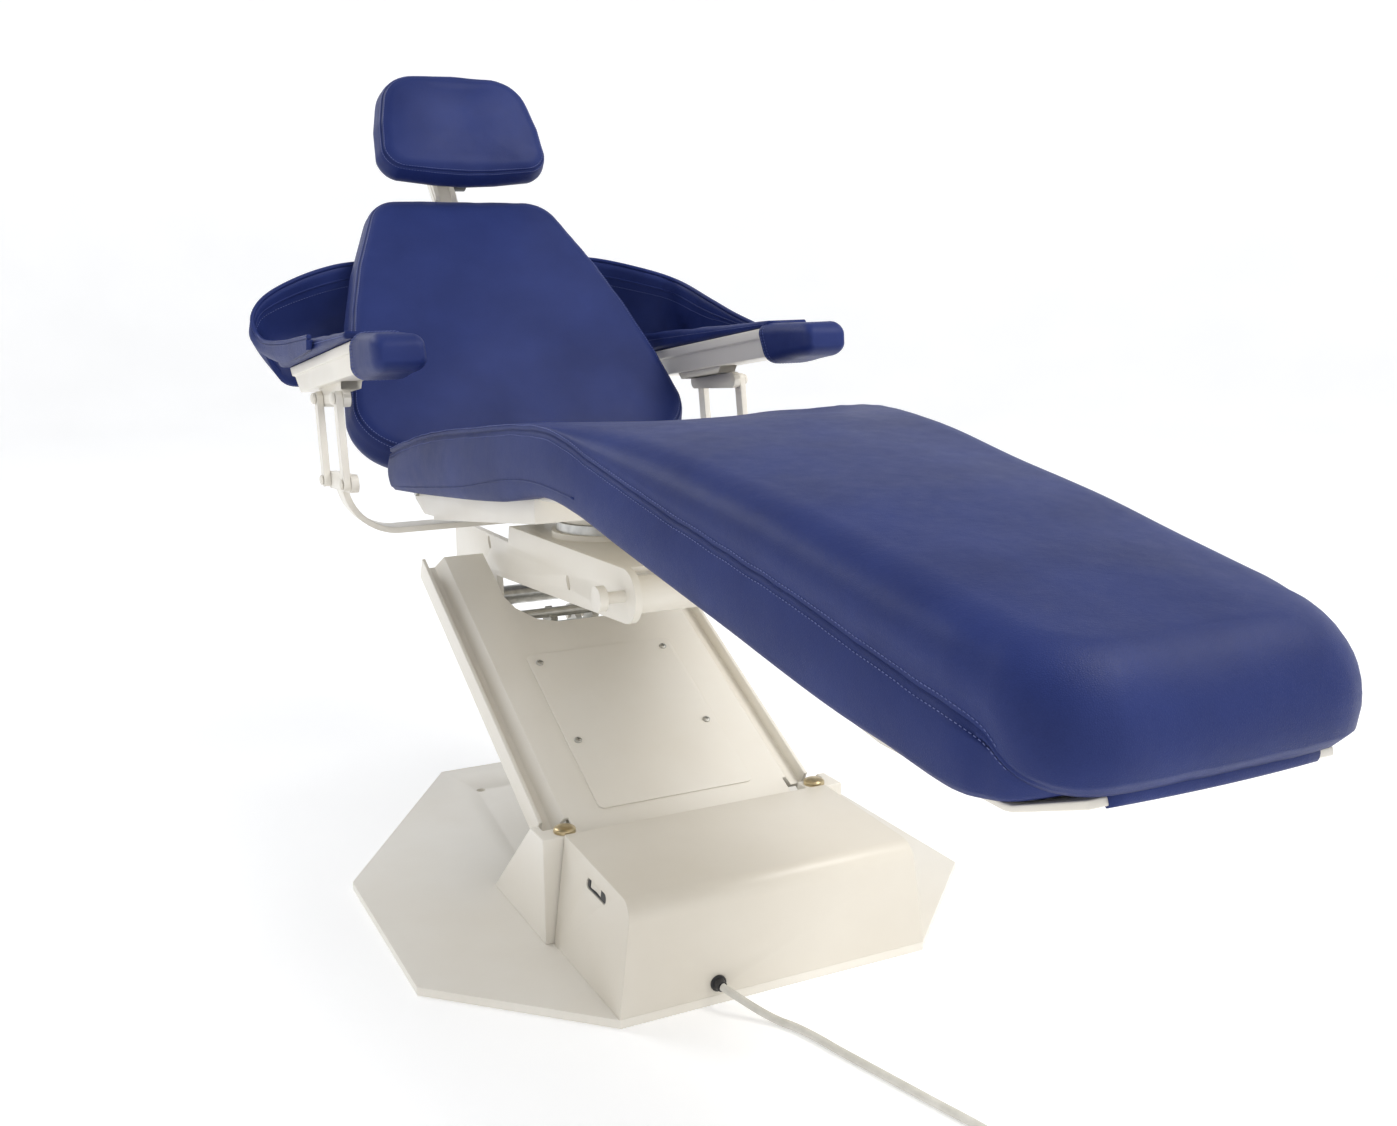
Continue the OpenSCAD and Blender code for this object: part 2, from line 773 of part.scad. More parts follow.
module at_back() { tilted(back_hinge, back_angle) children(); }

// Half outline of the back in its own plane, from the bottom centre to the top centre
back_half = concat(
  [[0, back_low], [186, back_low]], arc([180, back_low + 80], 80, 280, 360, 6),
  [[248, 210], [196, 404]], arc([106, back_high - 54], 54, 18, 90, 6), [[0, back_high]]
);
module back_outline() { polygon(mirrored(back_half)); }

module back_cushion() {
  color_blue() at_back() translate([0, 0, face_z - back_t]) linear_extrude(back_t) back_outline();
}

shell_t = 6;
shell_z = face_z - back_t - shell_t - 0.2;
hinge_lug_x = 150;
// Slot outline for the recline pin, upright in the back, with room for its lost motion
module recline_slot(r) { translate(recline_pin) link_outline([0, -3], [2, 10], r); }

module back_shell() {
  color_white() at_back() {
    translate([0, 300, shell_z]) linear_extrude(shell_t) round_rect(338, 390, 40);
    difference() {
      both_sides() side_slab(hinge_lug_x, hinge_lug_x + 14) {
        link_outline([0, 0], [44, shell_z - 9], 12);
        translate([44, shell_z - 18]) square([190, 18]);
      }
      x_rod(9 + fit, -300, 300, [0, 0]);
    }
    difference() {
      both_sides() side_slab(11, 17) {
        recline_slot(15);
        translate([recline_pin[0] - 24, recline_pin[1]]) square([48, shell_z - recline_pin[1]]);
      }
      side_slab(-40, 40) recline_slot(8);
    }
    for (s = [-1, 1]) translate([s * 23 - 3, 380, shell_z - 14]) cube([6, 110, 14]);
    translate([-26, 380, shell_z - 18]) cube([52, 110, 4]);
  }
}

// Sling wings: bowed sheets from behind the back shell round to the side of the armrest.
// Each rib is its low and its high point, for the +X side. The left wing hangs wider.
sling_ribs_right = [
  [[150, 500, 640], [150, 632, 781]], [[215, 540, 620], [215, 610, 781]],
  [[284, 560, 602], [288, 566, 763]], [[326, 552, 602], [334, 524, 745]],
  [[331, 480, 640], [333, 402, 714]], [[330, 380, 657], [331, 322, 695]],
  [[330, 292, 666], [331, 248, 682]]
];
sling_ribs_left = [
  [[150, 500, 640], [150, 632, 781]], [[205, 540, 620], [212, 612, 774]],
  [[268, 568, 602], [275, 598, 755]], [[305, 580, 606], [328, 590, 728]],
  [[331, 570, 648], [347, 580, 697]], [[331, 530, 646], [340, 545, 668]],
  [[330, 430, 644], [333, 430, 668]], [[330, 330, 657], [331, 330, 676]],
  [[330, 266, 668], [331, 258, 682]]
];
module sling(ribs) {
  color_blue() for (i = [0 : len(ribs) - 2]) hull()
    for (rib = [ribs[i], ribs[i + 1]], p = rib) translate(p) sphere(r = 5, $fn = 10);
}
module sling_right() { sling(sling_ribs_right); }
module sling_left() { mirror([1, 0, 0]) sling(sling_ribs_left); }

// ---- Headrest ----

// Flat bar in the guide behind the shell, then a forked knuckle that the headrest tilts on
bar_low = 366;
bar_high = 632;
bar_face = shell_z - 1;
knuckle_at = [bar_high + 12, bar_face - 5];
head_tilt = 16;
head_back_z = 106;
module glide_bar() {
  color_white() at_back() {
    difference() {
      translate([-19.9, bar_low, bar_face - 10]) cube([39.8, bar_high - bar_low, 10]);
      x_rod(18, -9, 9, knuckle_at);
    }
    difference() {
      both_sides() side_slab(10, 18) link_outline([bar_high - 30, bar_face - 5], knuckle_at, 11);
      x_rod(6, -40, 40, knuckle_at);
    }
    x_rod(6, -24, 22, knuckle_at);
  }
}

module headrest_knob() {
  color_dark() at_back() x_rod(16, 22, 44, knuckle_at);
}

module at_head() {
  at_back() translate([0, knuckle_at[0], knuckle_at[1]]) rotate([head_tilt, 0, 0]) children();
}

module headrest_knuckle() {
  color_steel() at_head() difference() {
    union() {
      x_rod(13, -8, 8, [0, 0]);
      side_slab(-8, 8) polygon([[-8, 4], [8, -8], [30, 20], [42, head_back_z], [0, head_back_z]]);
    }
    x_rod(6 + fit, -40, 40, [0, 0]);
  }
}

// Headrest: narrow round top, wide bottom with a bowed lower edge
head_mid = 12;
head_half = concat(
  [[0, -88]], arc([head_half_w - 34, -44], 34, 285, 352, 6),
  arc([head_half_w - 74, 36], 54, 12, 90, 6), [[0, 92]]
);
module head_outline() { polygon(mirrored(head_half)); }

head_t = 50;
module headrest_shell() {
  color_white() at_head() translate([0, head_mid, head_back_z]) linear_extrude(8)
    scale([0.72, 0.72]) head_outline();
}

module headrest_cushion() {
  color_blue() at_head() translate([0, head_mid, head_back_z + 8.3]) linear_extrude(head_t) head_outline();
}

base_plate();
tower_left();
tower_right();
lower_pivot_shaft();
link_anchor();
pump_cover();
cover_bolts();
switch_bezel();
power_rocker();
pump_motor();
pump_manifold();
oil_reservoir();
control_box();
cylinder_bracket();
cord_gland();
mains_cord();
cord_coil();
cord_tie();
mains_plug();
lift_cylinder();
lift_rod();
lift_arm();
arm_cover();
access_panel();
panel_screws();
parallel_link();
upper_pivot_shaft();
carriage();
swivel_bearing();
swivel_brake();
seat_frame();
leg_pan();
seat_cushion();
recline_cylinder();
recline_rod();
hinge_pin();
arm_bracket_left();
arm_bracket_right();
back_shell();
back_cushion();
sling_left();
sling_right();
glide_bar();
headrest_knuckle();
headrest_knob();
headrest_shell();
headrest_cushion();
rear_link_left();
rear_link_right();
front_link_left();
front_link_right();
arm_saddle_left();
arm_saddle_right();
arm_block_left();
arm_block_right();
arm_sleeve_left();
arm_sleeve_right();
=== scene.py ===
"""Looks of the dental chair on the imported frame: upholstery, enamel, plastics, metal."""

import json
import math

import bmesh
import bpy
import numpy as np
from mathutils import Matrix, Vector
from mathutils.noise import noise


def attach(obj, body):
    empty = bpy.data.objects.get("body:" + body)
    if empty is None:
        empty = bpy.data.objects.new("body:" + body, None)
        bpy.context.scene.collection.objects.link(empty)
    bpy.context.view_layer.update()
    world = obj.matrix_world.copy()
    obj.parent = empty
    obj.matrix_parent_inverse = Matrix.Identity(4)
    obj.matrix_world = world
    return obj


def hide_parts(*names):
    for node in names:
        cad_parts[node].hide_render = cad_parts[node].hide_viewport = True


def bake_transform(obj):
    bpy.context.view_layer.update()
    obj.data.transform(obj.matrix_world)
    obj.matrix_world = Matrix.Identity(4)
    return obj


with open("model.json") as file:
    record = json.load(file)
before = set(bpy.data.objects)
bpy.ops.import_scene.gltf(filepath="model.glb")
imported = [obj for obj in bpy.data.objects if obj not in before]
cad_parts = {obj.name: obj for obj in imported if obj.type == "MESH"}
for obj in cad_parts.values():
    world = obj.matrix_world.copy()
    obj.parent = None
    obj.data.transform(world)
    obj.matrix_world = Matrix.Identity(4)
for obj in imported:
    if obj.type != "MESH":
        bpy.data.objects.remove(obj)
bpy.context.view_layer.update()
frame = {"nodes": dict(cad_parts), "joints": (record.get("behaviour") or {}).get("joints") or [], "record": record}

# Shapes are worked out in millimetres and scaled by MM when their mesh is made
MM = 0.001
JOINTS = {j["name"]: j for j in frame["joints"]}
MATERIALS = {}
TURN = 2 * math.pi


# ---- Camera ----

YAW, PITCH, ROLL = (math.radians(a) for a in (26.306, 11.560, -0.568))
CAMERA_AT = (-0.6981, -1.6293, 0.7596)
FOCAL_MM = 36.25
SENSOR_MM = 36


def make_camera():
    """Camera at its place, turned by yaw and pitch and then rolled."""
    ahead = Vector((math.sin(YAW) * math.cos(PITCH), math.cos(YAW) * math.cos(PITCH),
                    -math.sin(PITCH)))
    level = Vector((math.cos(YAW), -math.sin(YAW), 0))
    up = level.cross(ahead)
    right = math.cos(ROLL) * level + math.sin(ROLL) * up
    upright = -math.sin(ROLL) * level + math.cos(ROLL) * up
    data = bpy.data.cameras.new("camera")
    data.lens = FOCAL_MM
    data.sensor_width = SENSOR_MM
    camera = bpy.data.objects.new("camera", data)
    bpy.context.scene.collection.objects.link(camera)
    world = camera.matrix_world.to_4x4()
    for row in range(3):
        for column, axis in enumerate((right, upright, -ahead, CAMERA_AT)):
            world[row][column] = axis[row]
    camera.matrix_world = world
    bpy.context.scene.camera = camera


# ---- Shared helpers ----

# A direction that no tube starts along, which gives its first ring a side to turn to
OFF_AXIS = (0.13, 0.21, 0.97)


def smooth_curve(xs, ys):
    """Smooth function through the points (xs, ys), level beyond their ends."""
    xs, ys = np.array(xs, float), np.array(ys, float)
    slope = np.gradient(ys, xs)

    def value(x):
        x = np.clip(np.asarray(x, float), xs[0], xs[-1])
        i = np.clip(np.searchsorted(xs, x, side="right") - 1, 0, len(xs) - 2)
        h = xs[i + 1] - xs[i]
        t = (x - xs[i]) / h
        return ((2 * t**3 - 3 * t**2 + 1) * ys[i]
                + (t**3 - 2 * t**2 + t) * h * slope[i]
                + (3 * t**2 - 2 * t**3) * ys[i + 1]
                + (t**3 - t**2) * h * slope[i + 1])
    return value


def eased(t):
    """From 0 to 1 as t does, level at both ends."""
    return t * t * (3 - 2 * t)


def unit(rows):
    """The same directions at length 1."""
    return rows / np.linalg.norm(rows, axis=-1, keepdims=True)


def catmull(points, steps):
    """Points of a Catmull-Rom curve through a list, with steps to each stretch."""
    p = [np.array(q, float) for q in points]
    out = []
    for i in range(len(p) - 1):
        a, b, c, d = p[max(i - 1, 0)], p[i], p[i + 1], p[min(i + 2, len(p) - 1)]
        for k in range(steps):
            t = k / steps
            out.append(0.5 * (2 * b + (c - a) * t + (2 * a - 5 * b + 4 * c - d) * t**2
                              + (3 * b - 3 * c + d - a) * t**3))
    out.append(p[-1])
    return np.array(out)


def resampled(points, step, closed=True):
    """The same line with its points about step apart."""
    p = np.array(points, float)
    if closed:
        p = np.vstack([p, p[:1]])
    along = np.concatenate([[0], np.cumsum(np.linalg.norm(np.diff(p, axis=0), axis=1))])
    count = max(int(round(along[-1] / step)), 3)
    at = np.linspace(0, along[-1], count + 1)
    line = np.stack([np.interp(at, along, p[:, k]) for k in range(p.shape[1])], axis=1)
    return line[:-1] if closed else line


def link_object(name, data):
    obj = bpy.data.objects.new(name, data)
    bpy.context.scene.collection.objects.link(obj)
    return obj


MESH_MERGE, THREAD_MERGE = 1e-5, 1e-7


def new_mesh(name, verts, faces, merge=MESH_MERGE):
    """Object from vertices in metres and faces, doubles merged and normals outwards."""
    mesh = bpy.data.meshes.new(name)
    mesh.from_pydata([tuple(map(float, v)) for v in verts], [], faces)
    bm = bmesh.new()
    bm.from_mesh(mesh)
    bmesh.ops.remove_doubles(bm, verts=bm.verts, dist=merge)
    bmesh.ops.recalc_face_normals(bm, faces=bm.faces)
    for face in bm.faces:
        face.smooth = True
    bm.to_mesh(mesh)
    bm.free()
    return link_object(name, mesh)


def loft(name, rings, capped=True):
    """Skin over closed rings of equally many points, each end capped by a fan."""
    count = len(rings[0])
    verts = np.vstack(rings)
    faces = []
    for r in range(len(rings) - 1):
        low, high = r * count, (r + 1) * count
        for k in range(count):
            n = (k + 1) % count
            faces.append((low + k, low + n, high + n, high + k))
    if capped:
        verts = np.vstack([verts, rings[0].mean(axis=0), rings[-1].mean(axis=0)])
        first_hub, last_hub = len(verts) - 2, len(verts) - 1
        last = (len(rings) - 1) * count
        for k in range(count):
            n = (k + 1) % count
            faces.append((k, n, first_hub))
            faces.append((last + k, last + n, last_hub))
    return new_mesh(name, verts, faces)


def tube(name, points, radius, sides=8):
    """Round tube along an open line of points, in metres."""
    p = np.array(points, float)
    along = unit(np.gradient(p, axis=0))
    angles = np.linspace(0, TURN, sides, endpoint=False)
    side = np.cross(along[0], OFF_AXIS)
    rings = []
    for i in range(len(p)):
        side = unit(side - along[i] * np.dot(side, along[i]))
        other = np.cross(along[i], side)
        rings.append(np.array([p[i] + radius * (math.cos(a) * side + math.sin(a) * other)
                               for a in angles]))
    return loft(name, rings)


STITCH_PITCH = 4.4 * MM
STITCH_LENGTH = 3.1 * MM
STITCH_RADIUS = 0.42 * MM
STITCH_SIDES = 5
STITCH_FULL = 0.3       # share of the length, each way from the middle, at full thickness
STITCH_LIFT = 0.4       # share of the radius that the middle stands off the surface
STITCH_MIN_GAP = 0.4    # share of the pitch, below which a stretch is left out
NORMAL_WEIGHT = 1e-4    # keeps the directions from counting as length when resampled


def stitches(name, line, outward, closed=False):
    """Separate stitches along a line in metres, each a small spindle on the surface."""
    rows = np.hstack([np.array(line, float), np.array(outward, float) * NORMAL_WEIGHT])
    rows = resampled(rows, STITCH_PITCH, closed)
    p, n = rows[:, :3], unit(rows[:, 3:])
    angles = [TURN * k / STITCH_SIDES for k in range(STITCH_SIDES)]
    verts, faces = [], []
    for i in range(len(p) if closed else len(p) - 1):
        a, b = p[i], p[(i + 1) % len(p)]
        along = b - a
        gap = np.linalg.norm(along)
        if gap < STITCH_MIN_GAP * STITCH_PITCH:
            continue
        along /= gap
        side = np.cross(along, n[i])
        middle = (a + b) / 2 + n[i] * STITCH_RADIUS * STITCH_LIFT
        tail = len(verts)
        near, far = tail + 1, tail + 1 + STITCH_SIDES
        head = far + STITCH_SIDES
        verts.append(middle - along * STITCH_LENGTH / 2)
        for at in (-STITCH_FULL, STITCH_FULL):
            for angle in angles:
                verts.append(middle + along * STITCH_LENGTH * at
                             + STITCH_RADIUS * (math.cos(angle) * side
                                                + math.sin(angle) * n[i]))
        verts.append(middle + along * STITCH_LENGTH / 2)
        for k in range(STITCH_SIDES):
            m = (k + 1) % STITCH_SIDES
            faces.append((tail, near + k, near + m))
            faces.append((near + k, far + k, far + m, near + m))
            faces.append((head, far + k, far + m))
    return new_mesh(name, verts, faces, merge=THREAD_MERGE)


def dress(obj, material):
    obj.data.materials.clear()
    obj.data.materials.append(MATERIALS[material])


def place(obj, body, slot, stands_for=(), material=None):
    """Puts a finished piece under its body and hides the CAD nodes that it stands for.

    Its material is the slot's own, unless another is named.
    """
    dress(obj, material or slot)
    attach(obj, body)
    if stands_for:
        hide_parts(*stands_for)


def bake_modifiers(obj):
    graph = bpy.context.evaluated_depsgraph_get()
    graph.update()
    mesh = bpy.data.meshes.new_from_object(obj.evaluated_get(graph), depsgraph=graph)
    obj.modifiers.clear()
    obj.data = mesh


# ---- Materials ----

VINYL_PEBBLES = 620     # cells to a metre in the vinyl's grain


class Nodes:
    """Node tree of one material, with short ways to add the nodes they share."""

    def __init__(self, name):
        self.material = bpy.data.materials.new(name)
        self.material.use_nodes = True
        self.tree = self.material.node_tree
        self.shader = self.tree.nodes["Principled BSDF"]
        self.place = self.add("ShaderNodeTexCoord").outputs["Object"]

    def add(self, kind, **values):
        node = self.tree.nodes.new(kind)
        for key, value in values.items():
            setattr(node, key, value)
        return node

    def link(self, out, into):
        self.tree.links.new(out, into)

    def noise(self, scale, detail=3.0, rough=0.5):
        node = self.add("ShaderNodeTexNoise")
        node.inputs["Scale"].default_value = scale
        node.inputs["Detail"].default_value = detail
        node.inputs["Roughness"].default_value = rough
        self.link(self.place, node.inputs["Vector"])
        return node.outputs["Fac"]

    def cells(self, scale):
        node = self.add("ShaderNodeTexVoronoi", feature="DISTANCE_TO_EDGE")
        node.inputs["Scale"].default_value = scale
        self.link(self.place, node.inputs["Vector"])
        return node.outputs["Distance"]

    def ramp(self, fac, low, high, low_at=0.35, high_at=0.65):
        node = self.add("ShaderNodeValToRGB")
        node.color_ramp.elements[0].color = (*low, 1)
        node.color_ramp.elements[1].color = (*high, 1)
        node.color_ramp.elements[0].position = low_at
        node.color_ramp.elements[1].position = high_at
        self.link(fac, node.inputs["Fac"])
        return node.outputs["Color"]

    def darkened(self, colour, by, share):
        node = self.add("ShaderNodeMix", data_type="RGBA", blend_type="MULTIPLY")
        node.inputs["Factor"].default_value = share
        self.link(colour, node.inputs[6])
        self.link(by, node.inputs[7])
        return node.outputs[2]

    def spread(self, fac, low, high):
        node = self.add("ShaderNodeMapRange")
        node.inputs["To Min"].default_value = low
        node.inputs["To Max"].default_value = high
        self.link(fac, node.inputs["Value"])
        return node.outputs["Result"]

    def bump(self, height, strength, distance, below=None):
        node = self.add("ShaderNodeBump")
        node.inputs["Strength"].default_value = strength
        node.inputs["Distance"].default_value = distance
        self.link(height, node.inputs["Height"])
        if below is not None:
            self.link(below, node.inputs["Normal"])
        return node.outputs["Normal"]

    def edge_round(self, radius):
        node = self.add("ShaderNodeBevel", samples=4)
        node.inputs["Radius"].default_value = radius
        return node.outputs["Normal"]

    def finish(self, colour, roughness, normal, metallic=0.0, specular=0.5):
        self.link(colour, self.shader.inputs["Base Color"])
        self.link(roughness, self.shader.inputs["Roughness"])
        self.link(normal, self.shader.inputs["Normal"])
        self.shader.inputs["Metallic"].default_value = metallic
        self.shader.inputs["Specular IOR Level"].default_value = specular
        return self.material


def vinyl(name, low, high):
    """Soft vinyl: fine pebble grain with painted shade in its grooves, slow changes of tone and faint creases."""
    n = Nodes(name)
    tone = n.ramp(n.noise(9, 4), low, high, 0.3, 0.7)
    # Painted shade: the colour is darkened along the pebbles' edges, in the grooves that the pebble bump sinks.
    painted_groove_shade = n.ramp(n.cells(VINYL_PEBBLES), (0.78, 0.78, 0.8), (1, 1, 1), 0.0, 0.12)
    colour = n.darkened(tone, painted_groove_shade, 0.55)
    pebble = n.bump(n.cells(VINYL_PEBBLES), 0.5, 0.5 * MM)
    crease = n.bump(n.noise(190, 5, 0.6), 0.22, 0.7 * MM, pebble)
    sag = n.bump(n.noise(24, 2), 0.25, 2.5 * MM, crease)
    return n.finish(colour, n.spread(n.noise(60, 3), 0.4, 0.52), sag, specular=0.16)


def enamel(name, light, worn, rough=(0.26, 0.42)):
    """Aged off-white enamel: yellowing in broad patches and a faint orange peel."""
    n = Nodes(name)
    colour = n.ramp(n.noise(5, 5, 0.55), worn, light, 0.3, 0.62)
    peel = n.bump(n.noise(85, 2), 0.06, 0.3 * MM, n.edge_round(0.9 * MM))
    return n.finish(colour, n.spread(n.noise(33, 4), *rough), peel)


def moulded(name, low, high, rough=(0.35, 0.5), grain=700):
    """Moulded plastic, rubber, thread or paint with a fine texture."""
    n = Nodes(name)
    skin = n.bump(n.noise(grain, 2), 0.2, 0.2 * MM, n.edge_round(0.5 * MM))
    colour = n.ramp(n.noise(40, 3), low, high)
    return n.finish(colour, n.spread(n.noise(90, 3), *rough), skin)


def metal(name, low, high, rough=(0.24, 0.4)):
    """Machined or plated metal: fine lines across one direction and a little staining."""
    n = Nodes(name)
    mapping = n.add("ShaderNodeMapping")
    mapping.inputs["Scale"].default_value = (1, 30, 30)
    n.link(n.place, mapping.inputs["Vector"])
    lines = n.add("ShaderNodeTexNoise")
    lines.inputs["Scale"].default_value = 60
    n.link(mapping.outputs["Vector"], lines.inputs["Vector"])
    cut = n.bump(lines.outputs["Fac"], 0.12, 0.15 * MM, n.edge_round(0.4 * MM))
    colour = n.ramp(n.noise(70, 5), low, high)
    return n.finish(colour, n.spread(n.noise(120, 4), *rough), cut, metallic=1.0)


# Maker, first and second tone, and what else the maker takes: roughness, then grain
FINISHES = {
    "vinyl": (vinyl, (0.015, 0.026, 0.118), (0.022, 0.037, 0.158)),
    "thread": (moulded, (0.10, 0.13, 0.33), (0.14, 0.17, 0.40), (0.5, 0.7)),
    "white_enamel": (enamel, (0.80, 0.765, 0.69), (0.765, 0.72, 0.635)),
    "white_plastic": (enamel, (0.71, 0.665, 0.58), (0.67, 0.62, 0.53), (0.3, 0.42)),
    "steel": (metal, (0.42, 0.42, 0.41), (0.6, 0.6, 0.58)),
    "zinc": (metal, (0.47, 0.46, 0.42), (0.55, 0.54, 0.50), (0.42, 0.55)),
    "brass": (metal, (0.40, 0.31, 0.17), (0.62, 0.52, 0.33), (0.25, 0.42)),
    "black_plastic": (moulded, (0.012, 0.012, 0.014), (0.03, 0.03, 0.033)),
    "cylinder_paint": (moulded, (0.014, 0.014, 0.016), (0.03, 0.03, 0.034), (0.25, 0.4), 300),
    "motor_paint": (moulded, (0.035, 0.04, 0.045), (0.06, 0.065, 0.07), (0.45, 0.6), 260),
    "tank_plastic": (moulded, (0.6, 0.6, 0.52), (0.72, 0.72, 0.66)),
    "cord_jacket": (moulded, (0.56, 0.54, 0.48), (0.68, 0.66, 0.6), (0.45, 0.6)),
}


def make_materials():
    for name, (maker, *values) in FINISHES.items():
        MATERIALS[name] = maker(name, *values)


# ---- Mains lead ----

# The route and the coil of part.scad, in millimetres
CORD_ROUTE = [
    (-75, -416, 24), (-70, -430, 21.5), (-60, -444, 15), (-49, -459, 8.5), (-39, -474, 4.6),
    (-30, -492, 4.3), (-21, -520, 4.3), (-14, -550, 4.3), (-6, -580, 4.3), (2, -610, 4.3),
    (10, -640, 4.3), (18, -670, 4.3), (26, -698, 4.3), (33, -726, 4.3), (36, -754, 4.3),
    (32, -780, 4.3), (20, -806, 4.3), (6, -826, 4.3), (-6, -840, 4.3),
]
CORD_D = 8.5
COIL_AT = (40, -880)
TURN_GAP = 8.7
OUTER_R = 60.9
LAYER_TURNS = 3
STEPS_PER_TURN = 40
CLIMB_TURNS = 0.75      # turns that the lead takes to climb on the first layer
LOW_Z = 4.3             # middle of a lead that lies on the floor
HIGH_Z = LOW_Z + TURN_GAP
TOP_Z = HIGH_Z + TURN_GAP + 0.4
PLUG_Z = 30.0
PLUG_REACH = 11         # from the coil's middle to where the lead enters the plug
PLUG_BEND_STEPS = 18


def arc_point(centre, radius, angle, z):
    return (centre[0] + radius * math.cos(angle), centre[1] + radius * math.sin(angle), z)


def coil_points():
    """Turns inwards on the floor, outwards on top of them, then round into the plug."""
    cx, cy = COIL_AT
    out = []

    start = math.atan2(CORD_ROUTE[-1][1] - cy, CORD_ROUTE[-1][0] - cx)
    inwards = TURN * LAYER_TURNS + TURN * CLIMB_TURNS
    steps = int(STEPS_PER_TURN * (LAYER_TURNS + CLIMB_TURNS))
    for i in range(1, steps + 1):
        angle = inwards * i / steps
        radius = OUTER_R - TURN_GAP * min(angle / TURN, LAYER_TURNS)
        rise = max(0.0, angle - TURN * LAYER_TURNS) / (TURN * CLIMB_TURNS)
        z = LOW_Z + (HIGH_Z - LOW_Z) * eased(rise)
        out.append(arc_point(COIL_AT, radius, start + angle, z))

    begin = start + inwards
    end = -math.pi / 2 + TURN
    outwards = (end - begin) % TURN + TURN * (LAYER_TURNS - 1)
    inner_r = OUTER_R - TURN_GAP * LAYER_TURNS
    steps = int(STEPS_PER_TURN * outwards / TURN)
    for i in range(1, steps + 1):
        angle = outwards * i / steps
        radius = inner_r + (OUTER_R - inner_r) * angle / outwards
        rise = min(1.0, max(0.0, (angle - outwards + TURN / 3) / (TURN / 3)))
        z = HIGH_Z + (TOP_Z - HIGH_Z) * eased(rise)
        out.append(arc_point(COIL_AT, radius, begin + angle, z))

    bend = (OUTER_R + PLUG_REACH) / 2
    bend_at = (cx, cy - OUTER_R + bend)
    for i in range(1, PLUG_BEND_STEPS + 1):
        t = i / PLUG_BEND_STEPS
        z = TOP_Z + (PLUG_Z - TOP_Z) * eased(t)
        out.append(arc_point(bend_at, bend, -math.pi / 2 + math.pi * t, z))
    return out


def make_cord():
    """The mains lead as one curve, from the cover to its plug."""
    line = [tuple(p) for p in catmull(CORD_ROUTE, 4)] + coil_points()
    curve = bpy.data.curves.new("mains_lead", "CURVE")
    curve.dimensions = "3D"
    spline = curve.splines.new("POLY")
    spline.points.add(len(line) - 1)
    for point, at in zip(spline.points, line):
        point.co = (at[0] * MM, at[1] * MM, at[2] * MM, 1)
    curve.bevel_depth = CORD_D / 2 * MM
    curve.bevel_resolution = 4
    curve.use_fill_caps = True
    lead = link_object("mains_lead", curve)
    place(lead, "base", "cord_jacket", ("mains_cord", "cord_coil"))


# ---- Upholstery built from rings ----

def mirror_outline(half):
    """Whole outline from its +X half, which runs from the middle to the middle."""
    half = [tuple(p) for p in half]
    return np.array(half + [(-x, y) for x, y in reversed(half) if x > 1e-6])


def symmetric_outline(half, step):
    """Outline with evenly spaced points that match across the middle plane."""
    side = resampled(half, step, closed=False)
    side[0, 0] = side[-1, 0] = 0
    return mirror_outline(side)


def round_corner(centre, radius, start, end, steps=6):
    """Points of an arc from one angle to another, in degrees."""
    angles = [math.radians(start + (end - start) * i / steps) for i in range(steps + 1)]
    return [(centre[0] + radius * math.cos(a), centre[1] + radius * math.sin(a))
            for a in angles]


def towards(outline, spine, distance):
    """Outline moved inwards, along the line from each point to its place on the spine."""
    gap = spine - outline
    length = np.linalg.norm(gap, axis=1)[:, None]
    return outline + gap * np.minimum(distance / length, 1.0)


def between(outline, spine, share):
    return outline + (spine - outline) * share


def ripple(points, size, amount, seed=0.0):
    """Small height at each point, from smooth noise with features of that size."""
    places = [Vector((p[0] / size + seed, p[1] / size, p[2] / size)) for p in points]
    return np.array([noise(p) for p in places]) * amount


def wrinkle(rings, seam, reach, pucker, top_from, slack):
    """Puckers on the rings near a seam, and a slow unevenness on those above top_from.

    pucker and slack are each a feature size, a height and a seed.
    """
    size, height, seed = pucker
    for i, ring in enumerate(rings):
        closeness = math.exp(-((i - seam) / reach) ** 2)
        ring[:, 2] += ripple(ring, size, height * closeness, seed)
        if i > top_from:
            ring[:, 2] += ripple(ring, *slack)


# Seat cushion, each along its length: plan half width, underside, seam height and crown,
# then the radius of its shoulder and how full that is
seat_width = smooth_curve([-985, -900, -600, -320, -160, 120, 262],
                          [146, 151, 176, 207, 220, 234, 234])
seat_base = smooth_curve([-985, -945, -812, -600, -436, -352, -300, -160, 40, 262],
                         [437, 422, 430, 472, 510, 530, 537, 517, 497, 477])
seat_seam = smooth_curve(
    [-997, -975, -955, -935, -910, -860, -700, -500, -400, -310, -230, -130, 60, 262],
    [442, 444, 451, 463, 472, 482, 518, 559, 583, 604, 603, 592, 567, 526])
seat_top = smooth_curve(
    [-997, -960, -900, -833, -740, -611, -456, -390, -350, -303, -230, -130, 60, 262],
    [526, 531, 541, 553, 569, 588, 608, 613, 614.5, 613, 609, 598, 572.5, 529.5])
seat_crown = smooth_curve([-997, -420, -200, 262], [3.5, 2.0, -6.0, -5.0])
seat_shoulder = smooth_curve([-997, -850, -600, -400, -250, 262],
                             [44, 46, 46, 42, 34, 34])
seat_bulge = smooth_curve([-997, -850, -600, -400, -300, 262], [15, 14, 8, 2, 0, 0])
SEAT_SPINE = (-850, 140)
SEAT_BACK_Y, SEAT_TOE_Y = 262, -997
TOE_CORNER_Y = -935
TOE_STARTS, TOE_BLEND = -985, 70    # where the side's shape turns into the toe's
TOE_TUCK = 12                       # how far the toe's lower edge runs in
SIDE_FULL = 5                       # how far the side stands out at mid height
SEAM_HALF = 5.5                     # from the sewn groove to the stitches beside it
TOE_STITCHES_END = -952             # the side's stitches stop here, before the toe
BACK_ROW = 4                        # the cushion's back end, measured from its last point
PANEL_SEAM_Y = (-363, 203)


